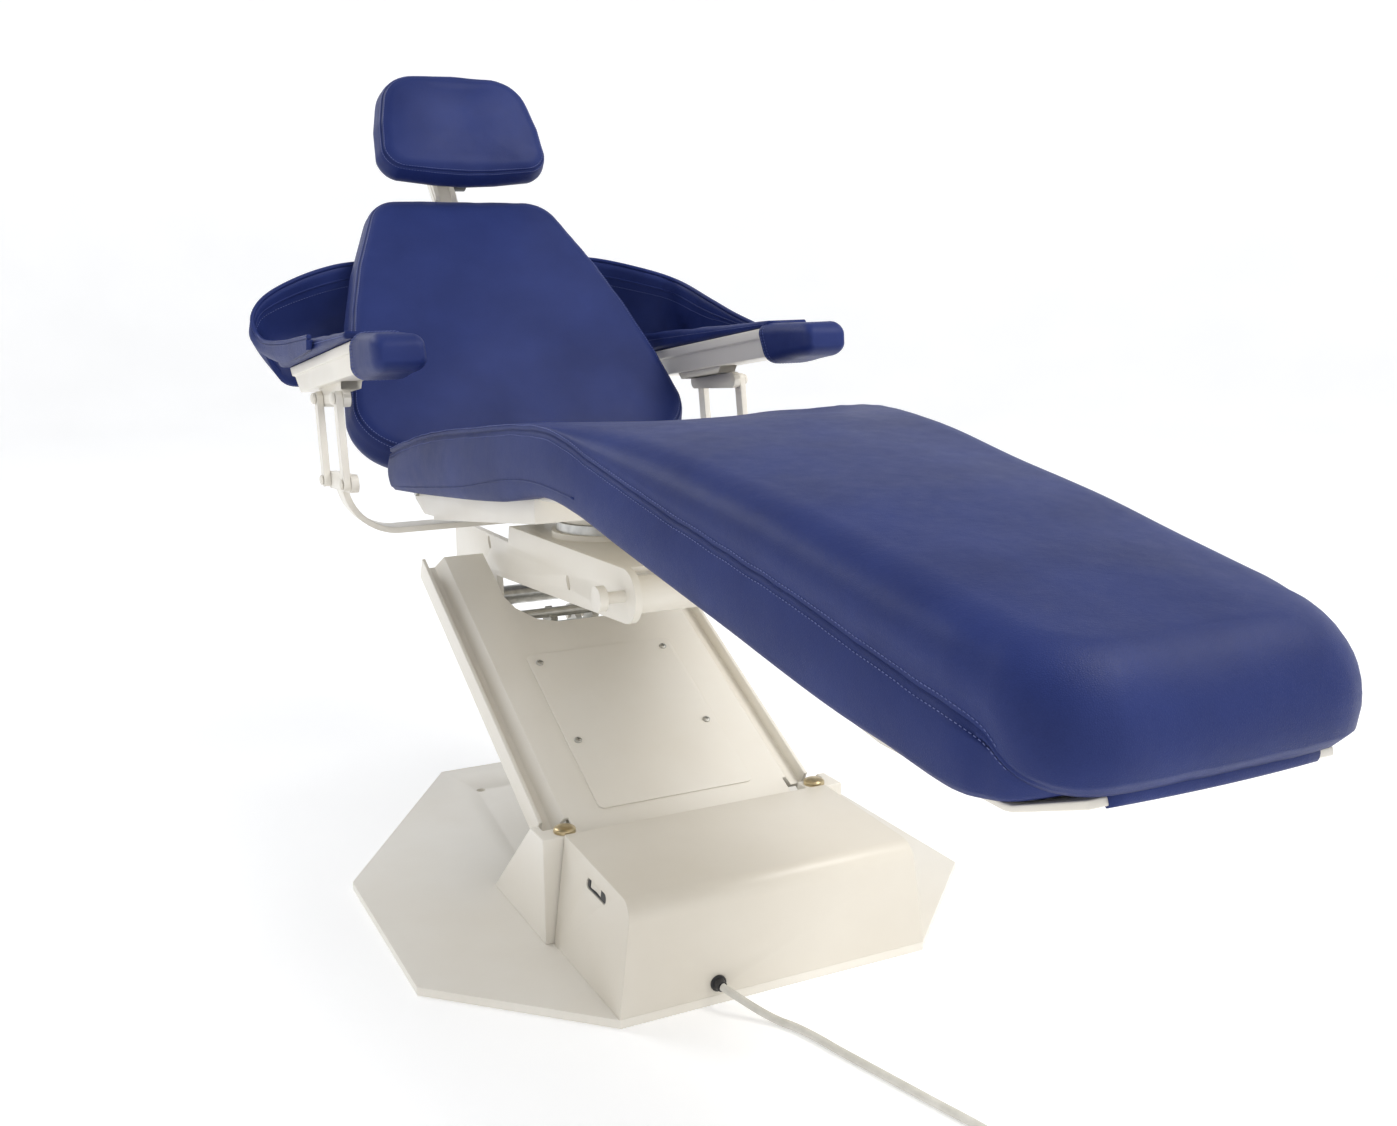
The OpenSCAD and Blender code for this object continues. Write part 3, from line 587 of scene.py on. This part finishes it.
def make_seat():
    """Seat and leg cushion: boxed sides, a sewn groove round it and a crowned top."""
    back = [(0, SEAT_BACK_Y), (216, SEAT_BACK_Y), (228, 256)]
    side = [(float(seat_width(y)), y) for y in np.linspace(240, -900, 60)]
    toe = round_corner((84, TOE_CORNER_Y), 62, 5, -90, 8)
    outline = symmetric_outline(back + side + toe + [(0, SEAT_TOE_Y)], 7.5)
    spine = np.column_stack([np.zeros(len(outline)), np.clip(outline[:, 1], *SEAT_SPINE)])
    away = np.clip((outline[:, 1] - TOE_STARTS) / TOE_BLEND, 0, 1)
    tuck = TOE_TUCK * (1 - away)
    rings = []

    def ring(inset, height):
        """Adds a ring at an inset, with z from its own y, and returns its place."""
        inset = np.broadcast_to(np.asarray(inset, float), (len(outline),))[:, None]
        plan = towards(outline, spine, inset)
        rings.append(np.column_stack([plan, height(plan[:, 1])]))
        return len(rings) - 1

    for share in (1.0, 0.7, 0.4, 0.2):
        plan = between(outline, spine, share)
        rings.append(np.column_stack([plan, seat_base(plan[:, 1])]))
    ring(9 + 1.3 * tuck, seat_base)
    ring(3.5 + 1.2 * tuck, lambda y: seat_base(y) + 0.8)
    ring(1 + 1.1 * tuck, lambda y: seat_base(y) + 2 + 2 * (y > -930))
    for t in np.linspace(0.12, 0.9, 9):
        ring(tuck * (1.05 - 0.9 * t) - SIDE_FULL * math.sin(math.pi * t) * away,
             lambda y: seat_base(y) + (seat_seam(y) - seat_base(y)) * t)
    marks = {}
    for name, drop, inset in (("under", -SEAM_HALF, -1.2), ("lip_low", -1.8, -0.8),
                              ("groove", 0, 2.6), ("lip_high", 1.8, -0.4),
                              ("over", SEAM_HALF, 0.0)):
        toe_inset = (0.05 - 0.08 * (drop + SEAM_HALF)) * tuck
        marks[name] = ring(inset * away + toe_inset, lambda y: seat_seam(y) + drop)
    shoulder, bulge = seat_shoulder(outline[:, 1]), seat_bulge(outline[:, 1])
    for a in np.radians(np.linspace(11, 90, 13)):
        side_swell = away * math.sin(2 * a)
        toe_swell = (1 - away) * math.cos(a) * (0.7 + math.sin(2 * a) * 0.5)
        ring(shoulder * (1 - math.cos(a)) - bulge * (side_swell + toe_swell),
             lambda y: (seat_seam(y) + SEAM_HALF
                        + (seat_top(y) - seat_seam(y) - SEAM_HALF) * math.sin(a)))
    edge = towards(outline, spine, shoulder[:, None])
    for share in np.linspace(0.06, 1.0, 16):
        plan = between(edge, spine, share)
        dome = seat_crown(plan[:, 1]) * (1 - (1 - share) ** 2)
        rings.append(np.column_stack([plan, seat_top(plan[:, 1]) + dome]))
    wrinkle(rings, marks["groove"], 5, (26, 1.0, 3.1), marks["over"], (130, 1.6, 7.7))

    seat = loft("seat_upholstery", [r * MM for r in rings], capped=False)
    place(seat, "seat", "vinyl", ("seat_cushion",))
    make_seat_stitches("upper", rings[marks["over"]])
    make_seat_stitches("lower", rings[marks["under"]])
    make_panel_seams()
    make_toe_strip()


def make_seat_stitches(row, ring):
    """Stitches along a ring of the seat, round its sides and back but not the toe."""
    keep = ring[:, 1] > TOE_STITCHES_END
    start = int(np.argmax(~keep))
    line = np.roll(ring, -start, axis=0)[np.roll(keep, -start)]
    out = np.column_stack([np.sign(line[:, 0]), np.zeros(len(line)), np.zeros(len(line))])
    out[line[:, 1] > line[:, 1].max() - BACK_ROW] = (0, 1, 0)
    thread = stitches("seat_stitches_" + row, (line + out * 0.3) * MM, out)
    place(thread, "seat", "vinyl", material="thread")


def make_panel_seams():
    """The lower panel's seam along each side."""
    height = smooth_curve([-363, -277, -48, 203], [548, 553, 520, 488])
    for sign, side in ((-1, "left"), (1, "right")):
        line = []
        for y in np.linspace(*PANEL_SEAM_Y, 90):
            z, low, high = float(height(y)), float(seat_base(y)), float(seat_seam(y))
            t = min(max((z - low) / (high - low), 0), 1)
            x = float(seat_width(y)) + SIDE_FULL * math.sin(math.pi * t) - 0.2
            line.append((sign * x, y, z))
        seam = tube("seat_lower_seam_" + side, np.array(line) * MM, 1.3 * MM, 6)
        place(seam, "seat", "vinyl")


def make_toe_strip():
    """The strip wrapped under the toe, which bends back a little at its ends."""
    half = 94
    section = [(3.6 * math.cos(a), 7 * math.sin(a))
               for a in np.linspace(0, TURN, 12, endpoint=False)]
    rings = []
    for x in np.linspace(-half, half, 15):
        y = -991.5 + 3.5 * (x / half) ** 2
        rings.append(np.array([(x, y + dy, 432.5 + dz) for dy, dz in section]) * MM)
    place(loft("toe_strip", rings), "seat", "vinyl")


# ---- Back and headrest, each in its own tilted plane ----

BACK_ANGLE = math.radians(47)
HEAD_TILT = math.radians(16)
PANEL_REACH = 200       # about the distance from a panel's middle to its outline
WALL_FULL = 2.5
WALL_EDGE = 4           # height of the rounding between the back face and the wall
SEAM_DEPTH, SEAM_LIP = 1.8, 0.7


def plane_frame(at, angle):
    """Function from (across, along, out) in mm to metres, on a plane tilted about X."""
    cos, sin = math.cos(angle), math.sin(angle)

    def to_world(points):
        p = np.asarray(points, float)
        return np.column_stack([p[:, 0] * MM,
                                at[1] + (p[:, 1] * cos - p[:, 2] * sin) * MM,
                                at[2] + (p[:, 1] * sin + p[:, 2] * cos) * MM])
    return to_world


def panel_cushion(name, body, stands_for, outline, centre, to_world,
                  low, high, crown, shoulder, seam_at, scoop=None):
    """Boxed cushion: flat behind, a seam on the shoulder and a crowned front.

    low and high are its faces, crown the middle's rise over high, shoulder the radius of
    its edge, and seam_at the seam's angle on that edge. scoop adds to the crown.
    """
    spine = np.tile(np.array(centre, float), (len(outline), 1))
    rings = []

    def flat(plan, out):
        out = np.broadcast_to(out, len(plan)).astype(float)
        rings.append(np.column_stack([plan, out]))
        return len(rings) - 1

    def ring(inset, out):
        if inset >= 0:
            return flat(towards(outline, spine, inset), out)
        return flat(spine + (outline - spine) * (1 - inset / PANEL_REACH), out)

    for share in (1.0, 0.6, 0.3, 0.1):
        flat(between(outline, spine, share), low)
    ring(5, low)
    ring(1.5, low + 1)
    ring(0, low + WALL_EDGE)
    wall_top = high - shoulder
    for t in (0.3, 0.5, 0.75, 1.0):
        ring(-WALL_FULL * math.sin(math.pi * t),
             low + WALL_EDGE + (wall_top - low - WALL_EDGE) * t)
    marks = {}
    for angle in (12, 24, seam_at - 9, seam_at - 3, seam_at, seam_at + 3, seam_at + 9,
                  64, 77, 90):
        a = math.radians(angle)
        radius = shoulder + {0: -SEAM_DEPTH, 3: SEAM_LIP}.get(abs(angle - seam_at), 0)
        marks[angle] = ring(shoulder - radius * math.cos(a),
                            wall_top + radius * math.sin(a))
    edge = towards(outline, spine, shoulder)
    for share in np.linspace(0.08, 1.0, 13):
        plan = between(edge, spine, share)
        dome = crown * (1 - (1 - share) ** 2)
        flat(plan, high + dome + (scoop(plan) if scoop else 0))
    wrinkle(rings, marks[seam_at], 4, (24, 1.2, 1.3), marks[90], (110, 1.5, 5.0))

    piece = loft(name, [to_world(r) for r in rings], capped=False)
    place(piece, body, "vinyl", stands_for)
    origin = to_world(np.zeros((1, 3)))
    seam = math.radians(seam_at)
    for row, angle in (("outer", seam_at - 9), ("inner", seam_at + 9)):
        line = rings[marks[angle]]
        out = unit(np.column_stack([(line[:, :2] - spine) * math.cos(seam) / PANEL_REACH,
                                    np.full(len(line), math.sin(seam))]))
        out = unit(to_world(out) - origin)
        thread = stitches(f"{name}_stitches_{row}", to_world(line) + out * 0.2 * MM, out,
                          closed=True)
        place(thread, body, "vinyl", material="thread")


def make_back():
    half = ([(0, 43), (178, 43)] + round_corner((178, 124), 80, 280, 360, 10)
            + [(246, 210), (224, 310), (198, 400)]
            + round_corner((106, 486), 54, 18, 90, 8) + [(0, 541)])
    hinge = JOINTS["recline"]["pos_m"]
    panel_cushion("back_upholstery", "back", ("back_cushion",),
                  symmetric_outline(half, 7), (0, 265), plane_frame(hinge, BACK_ANGLE),
                  low=-21, high=33, crown=9, shoulder=24, seam_at=48)


def head_scoop(plan):
    """Shallow hollow for the head."""
    return -5.0 * np.exp(-(plan[:, 0] / 60) ** 2 - ((plan[:, 1] - 15) / 60) ** 2)


def make_headrest():
    half = ([(0, -81), (50, -78)] + round_corner((99, -35), 37, 288, 352, 6)
            + [(132, 8)] + round_corner((62, 37), 62, 12, 90, 9) + [(0, 102)])
    knuckle = JOINTS["headrest_tilt"]["pos_m"]
    panel_cushion("headrest_upholstery", "headrest", ("headrest_cushion",),
                  symmetric_outline(half, 5), (0, 12),
                  plane_frame(knuckle, BACK_ANGLE + HEAD_TILT),
                  low=114.5, high=162, crown=8, shoulder=24, seam_at=40, scoop=head_scoop)


# ---- Armrests ----

ARM_SLOPE = math.radians(7.6)
ARM_X = 283
SLEEVE_TIP, SLEEVE_LENGTH = -408, 106
TIP_LENGTH, TIP_STEPS = 20, 8
SLEEVE_LEAN = {"left": 5, "right": 24}      # how far the hem's top runs back
SLEEVE_MIDDLE_Z = 38
PAD_INNER, PAD_OUTER = 258, 320
PAD_FRONT, PAD_LENGTH = -292, 440
PAD_LOW = 54.8


def arm_frame(side):
    """Function from the armrest's own mm to metres; its x grows away from the seat."""
    sign = -1 if side == "left" else 1
    to_world = plane_frame(JOINTS["arm_level_" + side]["pos_m"], -ARM_SLOPE)

    def place_points(points):
        return to_world(np.array(points, float) * (sign, 1, 1))
    return place_points


def rounded_section(half_w, low, high, radius, y, middle, steps=8):
    """Closed section across the arm at y: a rectangle with round corners."""
    points = []
    left, right = -half_w + radius, half_w - radius
    for cx, cz, start in ((right, high - radius, 0), (left, high - radius, 90),
                          (left, low + radius, 180), (right, low + radius, 270)):
        for i in range(steps + 1):
            a = math.radians(start + 90 * i / steps)
            points.append((middle + cx + radius * math.cos(a), y,
                           cz + radius * math.sin(a)))
    return np.array(points)


def shrunk(ring, share):
    """Section of the sleeve made smaller about its middle."""
    middle = np.array([ARM_X, 0, SLEEVE_MIDDLE_Z])
    return middle + (ring - middle) * (share, 1, share)


def make_sleeve(side, to_world, body):
    """Padded sleeve over the armrest's front: a rounded tip and a turned-in hem."""
    stations = []
    for i in range(TIP_STEPS + 1):
        a = math.radians(90 * i / TIP_STEPS)
        stations.append((SLEEVE_TIP + TIP_LENGTH * (1 - math.cos(a)),
                         0.35 + 0.65 * math.sin(a)))
    stations += [(y, 1.0) for y in (-385, -368, -350, -332, -315, -302)]
    rings = []
    for y, share in stations:
        t = (y - SLEEVE_TIP) / SLEEVE_LENGTH
        high, low = 46 + 14 * t ** 0.8, 7 - 5 * t
        half_w = (31 + 4 * t) * (0.55 + 0.45 * share)
        half_h = (high - low) / 2 * share
        z = (high + low) / 2 - (1 - share) * 4
        radius = min(half_w, half_h) * 0.62
        rings.append(rounded_section(half_w, z - half_h, z + half_h, radius, y, ARM_X))
    for ring in rings:
        share = np.clip((ring[:, 1] + 395) / 95, 0, 1)
        below_top = np.clip((60 - ring[:, 2]) / 60, 0, 1)
        ring[:, 1] += share * SLEEVE_LEAN[side] * (1 - below_top)
        ring[:, 2] += ripple(ring, 22, 1.5, 9.0)
        ring[:, 0] += ripple(ring, 30, 1.2, 4.0)
    hem = rings[-1].copy()
    for share, back in ((0.98, 1.5), (0.93, 0.5), (0.88, -4)):
        rings.append(shrunk(hem, share) + (0, back, 0))
    sleeve = loft("arm_sleeve_cover_" + side, [to_world(r) for r in rings])
    place(sleeve, body, "vinyl", ("arm_sleeve_" + side,))
    for name, shift in (("a", -4), ("b", -11)):
        line = hem + (0, shift, 0)
        line[:, 0] = ARM_X + (line[:, 0] - ARM_X) * 1.004
        line = to_world(line)
        out = unit(line - line.mean(axis=0))
        thread = stitches(f"arm_stitches_{name}_{side}", line, out, closed=True)
        place(thread, body, "vinyl", material="thread")


def make_pad(side, to_world, body):
    """Pad over the armrest's cap, thicker towards the back, with a rolled outer edge."""
    rings = []
    for y in np.linspace(PAD_FRONT, PAD_FRONT + PAD_LENGTH, 34):
        t = (y - PAD_FRONT) / PAD_LENGTH
        high = 61 + 26 * t
        edge = min(8.0, (high - PAD_LOW) / 2 - 0.2)
        half_w = (PAD_OUTER - PAD_INNER) / 2 + 1.5 * t
        middle = (PAD_INNER + PAD_OUTER) / 2 + 2 * t
        ring = rounded_section(half_w, PAD_LOW, high, edge, y, middle, 5)
        top = ring[:, 2] > high - edge
        ring[:, 2] += top * (4 * (1 - ((ring[:, 0] - 290) / 34) ** 2)).clip(0, 4)
        ring[:, 2] += top * ripple(ring, 40, 1.4, 2.0)
        rings.append(ring)
    pad = loft("arm_pad_" + side, [to_world(r) for r in rings])
    place(pad, body, "vinyl")
    sign = -1 if side == "left" else 1
    for name, edge_x, widening, facing in (("outer", PAD_OUTER + 0.4, 3.5, 1),
                                           ("inner", PAD_INNER - 0.4, 0.5, -1)):
        y = np.linspace(PAD_FRONT + 7, PAD_FRONT + PAD_LENGTH - 3, 60)
        t = (y - PAD_FRONT) / PAD_LENGTH
        line = np.column_stack([edge_x + widening * t, y, 58 + 18 * t])
        out = np.tile([float(facing * sign), 0, 0], (len(line), 1))
        thread = stitches(f"pad_stitches_{name}_{side}", to_world(line), out)
        place(thread, body, "vinyl", material="thread")


def make_arm(side):
    to_world = arm_frame(side)
    make_sleeve(side, to_world, "armrest_" + side)
    make_pad(side, to_world, "armrest_" + side)


# ---- Sling wings ----

# Ribs from behind the back shell round to the side of the armrest, in millimetres on
# the +X side: low, belly and rim points
SLING_RIBS = {
    "left": [
        ((150, 500, 640), (150, 590, 690), (150, 632, 781)),
        ((205, 540, 620), (215, 616, 682), (212, 612, 774)),
        ((268, 570, 602), (282, 618, 668), (275, 598, 755)),
        ((304, 580, 606), (330, 607, 660), (326, 590, 728)),
        ((330, 572, 650), (348, 582, 674), (347, 580, 697)),
        ((332, 530, 648), (342, 538, 657), (341, 545, 668)),
        ((329, 430, 645), (333, 429, 655), (334, 430, 668)),
        ((328, 330, 657), (329, 330, 666), (329, 330, 676)),
        ((328, 262, 669), (328, 260, 675), (328, 258, 682)),
    ],
    "right": [
        ((150, 500, 640), (150, 590, 690), (150, 634, 783)),
        ((215, 540, 620), (222, 612, 680), (215, 610, 783)),
        ((280, 560, 602), (290, 592, 668), (285, 560, 765)),
        ((325, 552, 600), (335, 548, 658), (334, 524, 745)),
        ((330, 480, 638), (335, 460, 655), (332, 402, 716)),
        ((328, 380, 657), (330, 360, 666), (329, 320, 697)),
        ((328, 290, 666), (329, 270, 673), (328, 245, 682)),
    ],
}
SLING_THICK = 7
RIM_RISE = 3.0
WELT_R, WELT_RISE = 3.4, 1.2
SEAM_R = 1.5
LINE_STEP = 6
SLACK_DEPTH, CREASE_DEPTH, FOLD_DEPTH = 8, 4, 7
# Where the wing leaves the armrest's side and where it belongs to the back, in metres
INSIDE_OF_SLING = (200, 480, 700)
# For each side: where its folds' noise is read, and where its S-folds start
FOLD_SEED = {"left": 5.0, "right": 2.0}
FOLD_PHASE = {"left": 0.3, "right": 0.1}


def sling_fold(u, v, side):
    """How far the sling's inner face is folded in, u along its length and v up it."""
    free = math.sin(math.pi * min(v * 1.05, 1))
    free *= math.sin(math.pi * min(max(u, 0.03), 0.97))
    p = Vector((u * 3.1 + v * 1.7, v * 2.3 - u * 0.8, FOLD_SEED[side]))
    crease = max(1 - abs(noise(p)) * 3, 0)
    swirl = math.sin(TURN * (2.4 * u + 0.24 * math.sin(5 * v) + FOLD_PHASE[side]))
    return free * (SLACK_DEPTH * noise(p * 0.8) + CREASE_DEPTH * crease
                   + FOLD_DEPTH * max(swirl, 0) ** 1.4)


def make_sling(side):
    """Wing that stretches from the armrest's side to the back, with its welt and seam."""
    mirror = np.array([-1 if side == "left" else 1, 1, 1])
    ribs = [catmull(rib, 8) for rib in SLING_RIBS[side]]
    columns = [catmull([rib[k] for rib in ribs], 9) for k in range(len(ribs[0]))]
    sheet = np.array(columns).transpose(1, 0, 2)
    rows, cols = sheet.shape[:2]
    normal = unit(np.cross(np.gradient(sheet, axis=0), np.gradient(sheet, axis=1)))
    if ((sheet - INSIDE_OF_SLING) * normal).sum() < 0:
        normal = -normal
    fold = np.array([[sling_fold(r / (rows - 1), c / (cols - 1), side)
                      for c in range(cols)] for r in range(rows)])
    inside = sheet - normal * (SLING_THICK / 2 + fold[:, :, None])
    outside = sheet + normal * SLING_THICK / 2
    rim = (inside[:, -1] + outside[:, -1]) / 2 + (0, 0, RIM_RISE)
    rings = [np.vstack([outside[r], rim[r:r + 1], inside[r, ::-1]]) * mirror * MM
             for r in range(rows)]

    def stretch(piece, material="vinyl"):
        dress(piece, material)
        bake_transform(piece)

    def along(line):
        return resampled(line * mirror, LINE_STEP, closed=False) * MM

    cover = loft("sling_cover_" + side, rings)
    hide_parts("sling_" + side)
    stretch(cover)
    stretch(tube("sling_welt_" + side, along(rim + (0, 0, WELT_RISE)), WELT_R * MM))
    stretch(tube("sling_seam_" + side, along(inside[:, -3]), SEAM_R * MM, 6))
    facing = -normal[:, -4]
    row = (inside[:, -4] + facing * 0.6) * mirror * MM
    stretch(stitches("sling_stitches_" + side, row, facing * mirror), "thread")


# ---- Rigid pieces with softened edges ----

# Width of the rounding of each node's sharp edges, in millimetres
SOFT_EDGES = {
    "pump_cover": 5.0, "base_plate": 1.6, "tower_left": 1.5, "tower_right": 1.5,
    "arm_cover": 1.4, "access_panel": 0.7, "carriage": 1.2, "seat_frame": 1.5,
    "leg_pan": 1.2, "arm_bracket_left": 1.6, "arm_bracket_right": 1.6,
    "arm_block_left": 3.0, "arm_block_right": 3.0, "arm_saddle_left": 1.6,
    "arm_saddle_right": 1.6, "rear_link_left": 1.6, "rear_link_right": 1.6,
    "front_link_left": 1.6, "front_link_right": 1.6, "headrest_shell": 2.0,
    "back_shell": 1.4, "glide_bar": 0.8, "swivel_brake": 1.8, "headrest_knob": 2.0,
    "link_anchor": 1.0,
}
MERGE_WITHIN = 2e-5
FLAT_ANGLE, BEVEL_ANGLE, CREASE_ANGLE = (math.radians(a) for a in (0.8, 32, 30))


def soften(node, width):
    """A copy of a CAD node with its sharp edges rounded."""
    obj = link_object(node + "_body", frame["nodes"][node].data.copy())
    bm = bmesh.new()
    bm.from_mesh(obj.data)
    bmesh.ops.remove_doubles(bm, verts=bm.verts, dist=MERGE_WITHIN)
    bmesh.ops.dissolve_limit(bm, angle_limit=FLAT_ANGLE, verts=bm.verts, edges=bm.edges)
    bm.to_mesh(obj.data)
    bm.free()
    bevel = obj.modifiers.new("edges", "BEVEL")
    bevel.width = width * MM
    bevel.segments = 3
    bevel.limit_method = "ANGLE"
    bevel.angle_limit = BEVEL_ANGLE
    bevel.use_clamp_overlap = True
    bake_modifiers(obj)
    for polygon in obj.data.polygons:
        polygon.use_smooth = True
    obj.data.set_sharp_from_angle(angle=CREASE_ANGLE)
    return obj


def finish_rigid():
    """Gives every CAD node its slot's material, and softens the ones in SOFT_EDGES."""
    record = frame["record"]
    slot_of = {s["node"]: s["material_slot"] for s in record["subparts"]}
    body_of = {node: body for body, nodes in record["behaviour"]["bodies"].items()
               for node in nodes}
    for node, obj in frame["nodes"].items():
        material = MATERIALS[slot_of[node]]
        if not obj.material_slots:
            obj.data.materials.append(material)
        for slot in obj.material_slots:
            slot.link = "OBJECT"
            slot.material = material
    for node, width in SOFT_EDGES.items():
        place(soften(node, width), body_of[node], slot_of[node], (node,))


# ---- Studio ----

FLOOR_R, WALL_CURVE, WALL_TOP = 5.5, 2, 4.0
FLOOR_Z = -0.0004
LIGHTS_LOOK_AT = Vector((0, -0.1, 0.5))
# Name, place, power in watts, size and tint
LIGHTS = [
    ("key", (1.9, -1.7, 3.9), 105, 1.8, (1, 0.985, 0.96)),
    ("front", (0.8, -4.2, 2.2), 16, 3.0, (1, 1, 1)),
    ("rim", (-1.9, 2.6, 3.0), 45, 1.4, (0.97, 0.985, 1)),
]


def make_backdrop():
    """Plain pale floor that curves up into a wall all round."""
    n = Nodes("floor")
    n.shader.inputs["Emission Color"].default_value = (1, 1, 1, 1)
    n.shader.inputs["Emission Strength"].default_value = 0.3
    MATERIALS["floor"] = n.finish(
        n.ramp(n.noise(2, 2), (0.84, 0.84, 0.84), (0.87, 0.87, 0.87)),
        n.spread(n.noise(30, 2), 0.6, 0.7), n.bump(n.noise(300, 2), 0.02, 0.1 * MM))
    profile = [(r, FLOOR_Z) for r in (0.001, 1.0, 2.5, 4.0, FLOOR_R)]
    for a in np.radians(np.linspace(10, 90, 9)):
        profile.append((FLOOR_R + WALL_CURVE * math.sin(a),
                        WALL_CURVE * (1 - math.cos(a)) + FLOOR_Z))
    profile.append((FLOOR_R + WALL_CURVE, WALL_TOP))
    turns = np.linspace(0, TURN, 72, endpoint=False)
    rings = [np.array([(r * math.cos(a), r * math.sin(a), z) for a in turns])
             for r, z in profile]
    bowl = loft("backdrop", rings, capped=False)
    dress(bowl, "floor")


def make_studio():
    """Soft light from the world and three area lights, over the backdrop."""
    scene = bpy.context.scene
    scene.view_settings.view_transform = "Standard"
    world = bpy.data.worlds.new("studio")
    world.use_nodes = True
    background = world.node_tree.nodes["Background"]
    background.inputs["Color"].default_value = (0.94, 0.96, 1, 1)
    background.inputs["Strength"].default_value = 0.5
    scene.world = world
    make_backdrop()
    for name, at, power, size, tint in LIGHTS:
        data = bpy.data.lights.new(name, "AREA")
        data.energy = power
        data.size = size
        data.color = tint
        light = link_object(name, data)
        light.location = at
        ahead = LIGHTS_LOOK_AT - Vector(at)
        light.rotation_euler = ahead.to_track_quat("-Z", "Y").to_euler()


make_camera()
make_materials()
make_cord()
make_studio()
finish_rigid()
make_seat()
make_back()
make_headrest()
for arm_side in ("left", "right"):
    make_arm(arm_side)
    make_sling(arm_side)
